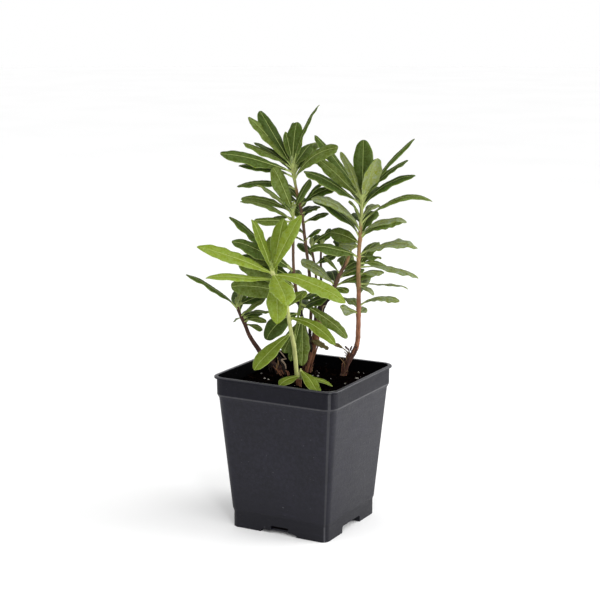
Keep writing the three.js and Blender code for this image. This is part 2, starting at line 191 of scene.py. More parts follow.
def leaf_finish(name, tint, gloss, glow, mottle):
    """Living leaf: faint mottling, a leathery grain and a little light through the blade."""
    finish = Finish(name, Specular_IOR_Level=0.08, Subsurface_Weight=glow,
                    Subsurface_Radius=(0.5, 1, 0.15), Subsurface_Scale=0.0012)
    blotch = finish.specks(240, detail=3).above(0.3, 0.7)
    crinkle = finish.specks(620).above(0.32, 0.68)
    grain = finish.specks(2600)
    deep, bright = colour(tint, 1 - mottle, 0.25), colour(tint, 1 + 0.7 * mottle, 1.6)
    tinted = finish.mix(blotch * 0.5 + crinkle * 0.5, deep, bright)
    freckled = finish.mix(grain.above(0.62, 0.75) * 0.25, tinted, colour(tint, 0.55))
    return finish.wear(
        Base_Color=freckled,
        Roughness=gloss + 0.18 * grain,
        Normal=finish.bump(grain, 0.35, 0.00012, finish.bump(crinkle, 0.7, 0.0003)),
    )


def rib_finish(name, tint):
    """The pale rib, with fine lines along it."""
    finish = Finish(name, Specular_IOR_Level=0.3, Subsurface_Weight=0.1,
                    Subsurface_Radius=(0.6, 1, 0.3), Subsurface_Scale=0.001)
    grain = finish.specks(1700)
    return finish.wear(
        Base_Color=finish.mix(grain, colour(tint, 0.78), colour(tint, 1.15)),
        Roughness=0.45 + 0.2 * grain,
        Normal=finish.bump(grain, 0.3, 0.0001),
    )


def bark_finish(name, tint, dark, light, ridge):
    """Bark in fibres along the stem, with darker cracks and pale flecks."""
    finish = Finish(name, Specular_IOR_Level=0.3)
    fibre = finish.specks(900, detail=5, stretch=(1, 1, 0.16), rough=0.65)
    patch = finish.specks(330, detail=3, stretch=(1, 1, 0.5))
    body = finish.mix(patch.above(0.35, 0.65), colour(tint), colour(tint, 0.68))
    cracked = finish.mix(fibre.above(0.56, 0.7), body, colour(dark))
    flecked = finish.mix((1 - fibre).above(0.6, 0.72) * 0.8, cracked, colour(light))
    return finish.wear(
        Base_Color=flecked,
        Roughness=0.55 + 0.3 * fibre,
        Normal=finish.bump(fibre, 0.8, ridge),
    )


def green_finish(name, tint):
    """The smooth skin of a young shoot, faintly downy and striped along."""
    finish = Finish(name, Specular_IOR_Level=0.35, Subsurface_Weight=0.15,
                    Subsurface_Radius=(0.7, 1, 0.4), Subsurface_Scale=0.001)
    stripe = finish.specks(1100, detail=3, stretch=(1, 1, 0.12))
    return finish.wear(
        Base_Color=finish.mix(stripe.above(0.3, 0.7), colour(tint, 0.75), colour(tint, 1.2)),
        Roughness=0.42 + 0.2 * stripe,
        Normal=finish.bump(stripe, 0.4, 0.00015),
    )


def pot_finish(name, tint, worn, gloss, sheen):
    """Moulded black plastic: a fine grain, level scuffs and a bloom of dust, thinned towards the
    foot as painted shade.
    """
    finish = Finish(name, Specular_IOR_Level=sheen)
    grain = finish.specks(3200, detail=3)
    scuff = finish.specks(60, detail=6, stretch=(0.7, 0.7, 6), rough=0.7)
    bloom = finish.specks(30, detail=4, rough=0.6)
    mottle = finish.specks(330, detail=5, rough=0.75)
    wave = finish.specks(14, detail=2, stretch=(1, 1, 2.5))
    height = finish.node("SeparateXYZ", {}, {0: finish.place()}, "Z")
    dust = bloom.above(0.35, 0.7) * 0.4 + mottle.above(0.4, 0.62) * 0.6
    # Painted shade: the bloom fades near the floor, so the plastic is darker lower down.
    dust_and_low_shade = finish.mix(dust * (0.2 + 0.8 * height.above(0.005, 0.055)), colour(tint), colour(worn))
    scraped = finish.mix(scuff.above(0.58, 0.74) * 0.7, dust_and_low_shade, colour(worn, 1.6))
    speck = finish.specks(420, detail=1).above(0.76, 0.8)
    dents = finish.bump(mottle, 0.5, 0.0005, finish.bump(wave, 0.5, 0.003))
    return finish.wear(
        Base_Color=finish.mix(speck * 0.5, scraped, colour("#4a494e")),
        Roughness=(gloss + 0.22 * (scuff - 0.5) + 0.2 * (bloom - 0.5)
                   + 0.16 * (mottle - 0.5) + 0.08 * grain),
        Normal=finish.bump(grain, 0.25, 0.0001, finish.bump(scuff, 0.3, 0.0004, dents)),
    )


def crumb_finish(name, tint, light, rough=0.95):
    """Loose damp matter: dark lumps and lighter fibres."""
    finish = Finish(name, Specular_IOR_Level=0)
    lump = finish.specks(520, detail=6, rough=0.7)
    fleck = finish.specks(1500, detail=3).above(0.6, 0.72)
    body = finish.mix(lump, colour(tint, 0.5), colour(tint, 1.5))
    return finish.wear(
        Base_Color=finish.mix(fleck * 0.6, body, colour(light)),
        Roughness=rough - 0.25 * lump,
        Normal=finish.bump(lump, 0.9, 0.0007),
    )


POT_PLASTIC = pot_finish("pot_plastic", "#03030f", "#171622", 0.47, 0.28)
# Painted shade: the band, and the inner rim above the mix, take a darker copy of the plastic.
POT_BAND_SHADE = pot_finish("pot_band", "#02020c", "#0e0d18", 0.5, 0.17)
# Painted shade: the feet take a darker copy of the plastic.
POT_FOOT_SHADE = pot_finish("pot_foot", "#03030d", "#14131e", 0.48, 0.25)
# Painted highlight: a light line along the band's lower edge and the lip.
POT_EDGE_HIGHLIGHT = pot_finish("pot_edge", "#14141b", "#26262d", 0.36, 0.5)
# Painted highlight: a light line down each rounded corner.
POT_CORNER_HIGHLIGHT = pot_finish("pot_corner_line", "#121219", "#202027", 0.34, 0.44)
# Painted highlight: a brighter patch at the foot of each corner line.
CORNER_FOOT_HIGHLIGHT = pot_finish("pot_worn_corner", "#25252b", "#404046", 0.4, 0.5)
# Painted shade: the inside wall takes a near-black copy of the plastic.
POT_INNER_SHADE = pot_finish("pot_inner", "#010102", "#040405", 0.66, 0.02)
# The mix, peat and bark chip are damp and dark, and made darker still as painted shade from the
# leaves over them.
SHADED_MIX = crumb_finish("potting_mix", "#050303", "#130c09")
SHADED_PEAT = crumb_finish("peat_lump", "#030202", "#0b0705")
SHADED_BARK_CHIP = crumb_finish("bark_chip", "#130b08", "#2c1b13", 0.85)
PERLITE = crumb_finish("perlite", "#8f8b86", "#c9c6c0", 0.9)
OLD_BARK = bark_finish("old_bark", "#45291e", "#120a07", "#8a6551", 0.0006)
# Dead bark is the shreds' own dark bark and, with brown bark, painted shade on the shoots behind.
DEAD_BARK_AND_SHADE = bark_finish("dead_bark", "#20130f", "#080505", "#5d4438", 0.0005)
SHADE_BROWN_BARK = bark_finish("brown_bark", "#5c4332", "#2c1f18", "#8d7862", 0.0003)
RED_BARK = bark_finish("red_bark", "#85573e", "#472b1f", "#b58d70", 0.0003)
TAN_BARK = bark_finish("tan_bark", "#8b6c46", "#5c442b", "#b8946a", 0.00025)
TOP_SKIN = green_finish("top_shoot_skin", "#848a4c")
YOUNG_SKIN = green_finish("young_shoot_skin", "#a3a767")
UPPERS = [
    leaf_finish("leaf_upper_mid", "#44531d", 0.45, 0.09, 0.4),
    leaf_finish("leaf_upper_dark", "#394817", 0.43, 0.07, 0.4),
    leaf_finish("leaf_upper_light", "#576428", 0.47, 0.11, 0.4),
]
SAGE_UPPER = leaf_finish("leaf_upper_sage", "#717a4f", 0.52, 0.1, 0.25)
UNDER = leaf_finish("leaf_under", "#7d8652", 0.6, 0.1, 0.15)
MARGIN = leaf_finish("leaf_margin", "#626f36", 0.55, 0.1, 0.15)
RIB = rib_finish("leaf_rib", "#97a35e")
YOUNG_UPPERS = [
    leaf_finish("young_leaf_upper", "#5f6e22", 0.48, 0.14, 0.2),
    leaf_finish("young_leaf_upper_light", "#758530", 0.48, 0.16, 0.2),
]
YOUNG_UNDER = leaf_finish("young_leaf_under", "#82904a", 0.6, 0.14, 0.15)
YOUNG_RIB = rib_finish("young_leaf_rib", "#98a458")
WITHERED = bark_finish("withered_leaf", "#6b6238", "#3a2f1c", "#8f8250", 0.0003)
FIBRE = bark_finish("pale_fibre", "#a8947f", "#6a5546", "#c7b7a4", 0.0002)


# Meshes

def link(name, data):
    """A new object in the scene."""
    made = bpy.data.objects.new(name, data)
    bpy.context.scene.collection.objects.link(made)
    return made


class Skin:
    """Points in millimetres and the faces between them, each face with its finish."""

    def __init__(self):
        self.points, self.faces, self.finishes, self.used = [], [], [], []

    def face(self, corners, finish):
        if finish not in self.used:
            self.used.append(finish)
        self.faces.append(corners)
        self.finishes.append(self.used.index(finish))

    def loft(self, rings, finish):
        """Closed skin through rings of as many points, in one finish or finish(ring, side)."""
        finish_at = finish if callable(finish) else lambda r, k: finish
        start, count = len(self.points), len(rings[0])
        self.points += [Vector(point) for ring in rings for point in ring]
        for r in range(len(rings) - 1):
            low = start + r * count
            for k in range(count):
                after = low + (k + 1) % count
                self.face((low + k, after, after + count, low + k + count), finish_at(r, k))
        top = len(self.points) - count
        self.face(tuple(range(start, start + count))[::-1], finish_at(0, 0))
        self.face(tuple(range(top, top + count)), finish_at(len(rings) - 2, 0))

    def make(self, name, place, sharp=180):
        """The mesh object, in metres at its place."""
        mesh = bpy.data.meshes.new(name)
        mesh.from_pydata([place @ point for point in self.points], [], self.faces)
        for material in self.used:
            mesh.materials.append(material)
        mesh.polygons.foreach_set("material_index", self.finishes)
        mesh.polygons.foreach_set("use_smooth", [True] * len(self.faces))
        if sharp < 180:
            mesh.set_sharp_from_angle(angle=radians(sharp))
        mesh.update()
        return link(name, mesh)


def block(name, rings, finish, place=IN_POT, sharp=180):
    """An object of one closed skin."""
    skin = Skin()
    skin.loft(rings, finish)
    return skin.make(name, place, sharp)


def settle(piece, slot, *nodes):
    """Every piece rides on the one body, and any parts it takes the place of are hidden."""
    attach(piece, "root")
    if nodes:
        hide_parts(*nodes)


def smooth(value, low, high):
    share = min(1, max(0, (value - low) / (high - low)))
    return share * share * (3 - 2 * share)


def mean(low, high, share):
    return low + (high - low) * share


def bearing(angle):
    """The level direction at an angle."""
    return Vector((cos(angle), sin(angle), 0))


# Pot

def square_ring(half, corner, z, steps=CORNER_STEPS):
    """Square ring with round corners at one height."""
    ring = []
    middle = half - corner
    for side in range(4):
        turn = side * pi / 2
        centre = bearing(turn + pi / 4) * sqrt(2) * middle
        for k in range(steps + 1):
            angle = turn + (k / steps) * pi / 2
            ring.append(centre + Vector((corner * cos(angle), corner * sin(angle), z)))
    return ring


# The outside of the pot from its feet up: half width, corner and height at each edge, then
# the small steps out, up and in corner that round it
POT_EDGES = [
    (FOOT_HALF, FOOT_CORNER, 0, [(-0.5, 0, -0.5), (-0.1, 0.2, -0.1), (0, 0.7)]),
    (FOOT_HALF, FOOT_CORNER, FOOT_TOP, [(0, -0.6), (0.08, 0)]),
    (WALL_FOOT_HALF, WALL_FOOT_CORNER, WALL_FOOT, [(-0.2, -0.5), (0, 0), (0.07, 0.8)]),
    (WALL_TOP_HALF, WALL_CORNER, WALL_TOP, [(-0.1, -1), (0, -0.2), (0.25, 0.3)]),
    (BAND_HALF, BAND_CORNER, BAND_FOOT, [(-0.3, -0.4), (0, 0.3), (0.02, 1)]),
    (BAND_TOP_HALF, BAND_CORNER, BAND_TOP, [(0, -0.4), (0.3, 0)]),
    (LIP_HALF, LIP_CORNER, POT_HEIGHT - LIP_THICK, [(-0.5, 0), (-0.05, 0.3)]),
    (LIP_HALF, LIP_CORNER, POT_HEIGHT, [(0, -0.7), (-0.15, -0.25), (-0.5, 0)]),
]


INNER_EDGES = 5


def pot_inside():
    """The room in the pot, from its floor to past the rim, with a rounded inner edge."""
    rings = [(half, corner, max(z, WALL_THICK)) for half, corner, z, _ in POT_EDGES[:INNER_EDGES]]
    rings += [(BAND_TOP_HALF + out, BAND_CORNER, POT_HEIGHT + up)
              for out, up in ((-0.1, -0.9), (0.05, -0.35), (0.5, 0.1), (0.6, 1))]
    return [square_ring(half - WALL_THICK, corner - WALL_THICK, z) for half, corner, z in rings]


def channel_bar(turn, half, height, extra=0):
    """The room of one channel under the floor, narrower at its top, with eased edges."""
    low, high = half + extra, half + extra - CHANNEL_SLOPE
    top = height + extra
    right = [(low, -1), (low - 0.1, top * 0.5), (high + 0.35, top - 0.5), (high - 0.1, top - 0.1),
             (high - 0.8, top)]
    section = [(-low, -1)] + right + [(-x, z) for x, z in reversed(right[1:])]
    spin = Matrix.Rotation(turn, 3, "Z")
    rings = [[spin @ Vector((x, y, z)) for x, z in section] for y in (LIP_HALF, -LIP_HALF)]
    return block("channel", rings, POT_PLASTIC)


def drain_slot(side):
    """What the slot takes out of the wall of the feet on one side."""
    left, right = DRAIN_OFFSET - DRAIN_WIDTH / 2, DRAIN_OFFSET + DRAIN_WIDTH / 2
    near, far = side * FOOT_HALF - 2, side * FOOT_HALF + 2
    corners = [(left, near), (right, near), (right, far), (left, far)]
    rings = [[(x, y, z) for x, y in corners] for z in (-1, DRAIN_TOP)]
    return block("drain_slot", rings, POT_PLASTIC)


def carve(body, tools):
    """body less every tool, as one closed mesh. The tools go."""
    for tool in tools:
        cut = body.modifiers.new("cut", "BOOLEAN")
        cut.operation = "DIFFERENCE"
        cut.material_mode = "TRANSFER"
        cut.object = tool
    bpy.context.view_layer.update()
    graph = bpy.context.evaluated_depsgraph_get()
    result = bpy.data.meshes.new_from_object(body.evaluated_get(graph))
    body.modifiers.clear()
    body.data = result
    for tool in tools:
        bpy.data.objects.remove(tool)


# Rings of the outside and points of each corner with a finish of their own: painted highlights on
# the band's lower edge, the lip and the corner lines, painted shade on the feet and the band
FOOT_RINGS = 5
FOOT_HIGHLIGHT_RINGS = (1, 2)
BAND_EDGES = (11, 12)
LIP_EDGES = (18, 19)
HIGHLIGHT_SIDES = (5, 6)
INNER_BAND_RINGS = 6
POT_SHARP = 38


def pot_finish_at(ring, side):
    # Painted highlights on the band's lower edge, the lip and the corner lines; painted shade on
    # the feet and the band.
    if ring in BAND_EDGES or ring in LIP_EDGES:
        return POT_EDGE_HIGHLIGHT
    if side % (CORNER_STEPS + 1) in HIGHLIGHT_SIDES:
        return CORNER_FOOT_HIGHLIGHT if ring in FOOT_HIGHLIGHT_RINGS else POT_CORNER_HIGHLIGHT
    if ring < FOOT_RINGS:
        return POT_FOOT_SHADE
    return POT_BAND_SHADE if ring > BAND_EDGES[0] else POT_PLASTIC


def make_pot():
    outside = [square_ring(half + out, corner + sum(shrink), z + up)
               for half, corner, z, steps in POT_EDGES for out, up, *shrink in steps]
    pot = block("nursery_pot", outside, pot_finish_at)
    room = block("room_in_pot", pot_inside(),
                 lambda r, k: POT_BAND_SHADE if r >= INNER_BAND_RINGS else POT_INNER_SHADE)
    carve(room, [channel_bar(*row, WALL_THICK) for row in CHANNELS])
    slots = [drain_slot(side) for side in (-1, 1)]
    carve(pot, [channel_bar(*row) for row in CHANNELS] + [room] + slots)
    pot.data.polygons.foreach_set("use_smooth", [True] * len(pot.data.polygons))
    pot.data.set_sharp_from_angle(angle=radians(POT_SHARP))
    settle(pot, "pot", "pot")


# Potting mix

SOIL_HALF = BAND_HALF - WALL_THICK - GAP
SOIL_RINGS = 62
SOIL_SIDE_STEPS = 44
SOIL_CORNER_STEPS = 7
STEM_FEET = [(33, 15, 5.5), (-4, -18, 4), (-19, 20, 8), (3, 27, 7), (-3.5, -22.6, 3)]


def pot_point(x, y):
    """A point of the plant's frame in the pot's."""
    return Vector((x * cos(PLANT_TURN) - y * sin(PLANT_TURN),
                   x * sin(PLANT_TURN) + y * cos(PLANT_TURN)))


def soil_height(x, y):
    """Top of the mix: level, lower at the wall, lumpy, heaped a little round each stem."""
    reach = max(abs(x), abs(y)) / SOIL_HALF
    base = SOIL_TOP + 0.5 - SOIL_EDGE * smooth(reach, 1 - SOIL_SHOULDER / SOIL_HALF, 1)
    lumps = 0.9 * noise.noise(Vector((x / 9, y / 9, 3)))
    lumps += 0.75 * abs(noise.noise(Vector((x / 3.4, y / 3.4, 7))))
    lumps += 0.6 * abs(noise.noise(Vector((x / 1.5, y / 1.5, 11))))
    for foot_x, foot_y, width in STEM_FEET:
        foot = pot_point(foot_x, foot_y)
        lumps += 0.9 * exp(-((x - foot.x) ** 2 + (y - foot.y) ** 2) / (width * width))
    return base + max(-0.3, lumps)


def soil_ring(share, z_of):
    """Ring of the mix's surface at a share of its half width, with points along its sides too."""
    corners = square_ring(SOIL_HALF * share, BAND_CORNER * share, 0, SOIL_CORNER_STEPS)
    ring = []
    for k, point in enumerate(corners):
        ring.append(point)
        if k % (SOIL_CORNER_STEPS + 1) == SOIL_CORNER_STEPS:
            after = corners[(k + 1) % len(corners)]
            ring += [point.lerp(after, step / SOIL_SIDE_STEPS)
                     for step in range(1, SOIL_SIDE_STEPS)]
    return [Vector((p.x, p.y, z_of(p.x, p.y))) for p in ring]


def make_soil():
    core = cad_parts["soil"]
    core.data.materials.clear()
    core.data.materials.append(SHADED_MIX)
    base = SOIL_TOP - SOIL_EDGE - 1.5
    shares = [k / SOIL_RINGS for k in range(SOIL_RINGS, 0, -1)]
    rings = [soil_ring(share, lambda x, y: base) for share in (1 / SOIL_RINGS, 1)]
    rings += [soil_ring(share, soil_height) for share in shares]
    settle(block("mix_surface", rings, SHADED_MIX), "soil")


PEBBLE_SIDES = 7
PEBBLE_BELTS = 4


def pebble(skin, centre, size, finish, chance, flat=0.6):
    """A broken crumb: a ball of few faces, pushed about and turned."""
    turn = Quaternion([chance.gauss(0, 1) for _ in range(3)], chance.uniform(0, 6.3))
    sizes = Vector((size * chance.uniform(0.8, 1.3), size * chance.uniform(0.6, 1), size * flat))
    rings = []
    for belt in range(1, PEBBLE_BELTS):
        angle = pi * belt / PEBBLE_BELTS
        ring = []
        for side in range(PEBBLE_SIDES):
            around = 2 * pi * (side + 0.5 * belt) / PEBBLE_SIDES
            push = chance.uniform(0.75, 1.2)
            ball = Vector((sin(angle) * cos(around), sin(angle) * sin(around), -cos(angle)))
            ring.append(Vector(centre) + turn @ (ball * sizes * push))
        rings.append(ring)
    skin.loft(rings, finish)


def scatter(chance, reach):
    """A place in the pot on top of the mix."""
    x, y = chance.uniform(-reach, reach), chance.uniform(-reach, reach)
    return Vector((x, y, soil_height(x, y)))


# White grains seen from the front, in the plant's frame: across, back and size
PERLITE_SEEN = [
    (-30, 1.7, 1.5), (-33, 4, 1.1), (11.5, 11.8, 1.3), (43.8, 5, 1.5), (33.4, -11.6, 0.9),
    (46, 27, 1.1), (50, 30, 0.9), (-36, 24, 0.9), (7, 13, 0.9)
]
CRUMB_FINISHES = (SHADED_MIX, SHADED_MIX, SHADED_MIX, SHADED_PEAT, SHADED_PEAT, SHADED_PEAT, SHADED_BARK_CHIP)
CRUMBS = 950
CHIPS = 120
SPARE_PERLITE = 12
TORN_SHARP = 40  # degrees past which an edge shows


def make_crumbs():
    chance = random.Random(11)
    crumbs, chips, grains = Skin(), Skin(), Skin()
    for _ in range(CRUMBS):
        place = scatter(chance, SOIL_HALF - 3)
        size = 0.5 + 1.5 * chance.random() ** 2.5
        place.z += 0.2 * size
        pebble(crumbs, place, size, chance.choice(CRUMB_FINISHES), chance)
    for _ in range(CHIPS):
        place = scatter(chance, SOIL_HALF - 5) + UP * 0.5
        heading, rise = chance.uniform(0, 6.3), chance.uniform(-0.25, 0.4)
        length, width = chance.uniform(3, 8), chance.uniform(0.5, 1.3)
        sliver(chips, place, heading, rise, length, width, SHADED_BARK_CHIP, chance)
    for x, y, size in PERLITE_SEEN:
        x, y = pot_point(x, y)
        pebble(grains, (x, y, soil_height(x, y) + 0.3), size, PERLITE, chance, 0.8)
    for _ in range(SPARE_PERLITE):
        place = scatter(chance, SOIL_HALF - 4)
        pebble(grains, place, chance.uniform(0.4, 0.8), PERLITE, chance, 0.8)
    settle(crumbs.make("mix_crumbs", IN_POT, TORN_SHARP), "soil")
    settle(chips.make("bark_slivers", IN_POT, TORN_SHARP), "soil")
    settle(grains.make("perlite_grains", IN_POT), "soil")


SLIVER_STEPS = 6


def sliver(skin, foot, heading, rise, length, width, finish, chance, curl=0.5):
    """A torn strip of bark or fibre that starts at foot and curls."""
    out = bearing(heading)
    side = Vector((-out.y, out.x, 0))
    at = Vector(foot)
    bend = chance.uniform(-curl, curl)
    thick = 0.14 * width + 0.06
    rings = []
    for k in range(SLIVER_STEPS + 1):
        share = k / SLIVER_STEPS
        angle = rise + bend * share * 2
        up = UP * cos(angle) - out * sin(angle)
        bulge = 0.35 + 0.65 * sin(pi * min(1, share + 0.12))
        half = 0.5 * width * bulge * chance.uniform(0.75, 1.1)
        rings.append([at + side * half, at + up * thick, at - side * half, at - up * thick])
        at = at + (out * cos(angle) + UP * sin(angle)) * (length / SLIVER_STEPS)
    skin.loft(rings, finish)


# Shoots

BROWNED = (0.16, 0.62, 0.8)  # shares of a shoot's height where one bark gives way to the next


def trace(path, steps=16):
    """Points on a smooth curve through the path, so many to each length."""
    points = [Vector(point) for point in path]
    guides = [2 * points[0] - points[1]] + points + [2 * points[-1] - points[-2]]
    traced = []
    for k in range(len(points) - 1):
        p0, p1, p2, p3 = guides[k:k + 4]
        t0, t1 = 0.5 * (p2 - p0), 0.5 * (p3 - p1)
        for step in range(steps):
            w = step / steps
            traced.append(p1 + w * t0 + w * w * (3 * (p2 - p1) - 2 * t0 - t1)
                          + w ** 3 * (2 * (p1 - p2) + t0 + t1))
    traced.append(points[-1])
    return traced


class Mass:
    """A length of shoot up to its top, and the leaves on it."""

    def __init__(self, name, top, spare, arc=BACK_ARC, whorl=False, wavy=1, pale=0):
        self.name, self.top, self.spare, self.arc = name, top, spare, arc
        self.whorl, self.wavy, self.pale = whorl, wavy, pale


class Shoot:
    """A shoot's path, its thickness and the masses that take its leaves."""

    def __init__(self, limb, path, radii, bare_to, flare=0, masses=(), leaves=(), fork=None,
                 browned=BROWNED, dull=False, young=False):
        self.limb, self.radii, self.flare, self.masses, self.fork = limb, radii, flare, masses, fork
        self.browned, self.dull, self.young = browned, dull, young
        self.name = limb or "shoot_front_foot"
        self.foot, self.tip = path[0][2], path[-1][2]
        self.samples = trace(path)
        foot = bare_to + (GAP if limb else 0)
        for mass in masses:
            mass.foot = foot
            mass.leaves = [leaf for leaf in leaves if foot < leaf[0] < mass.top]
            foot = mass.top + GAP

    def at(self, height):
        """The middle of the shoot at a height."""
        k = 1
        while k + 1 < len(self.samples) and self.samples[k].z < height:
            k += 1
        low, high = self.samples[k - 1], self.samples[k]
        return low + (high - low) * ((height - low.z) / (high.z - low.z))

    def radius(self, height):
        share = (height - self.foot) / (self.tip - self.foot)
        spread = max(0, 1 - (height - self.foot) / FLARE_HEIGHT)
        return mean(*self.radii, share) + self.flare * spread ** 2
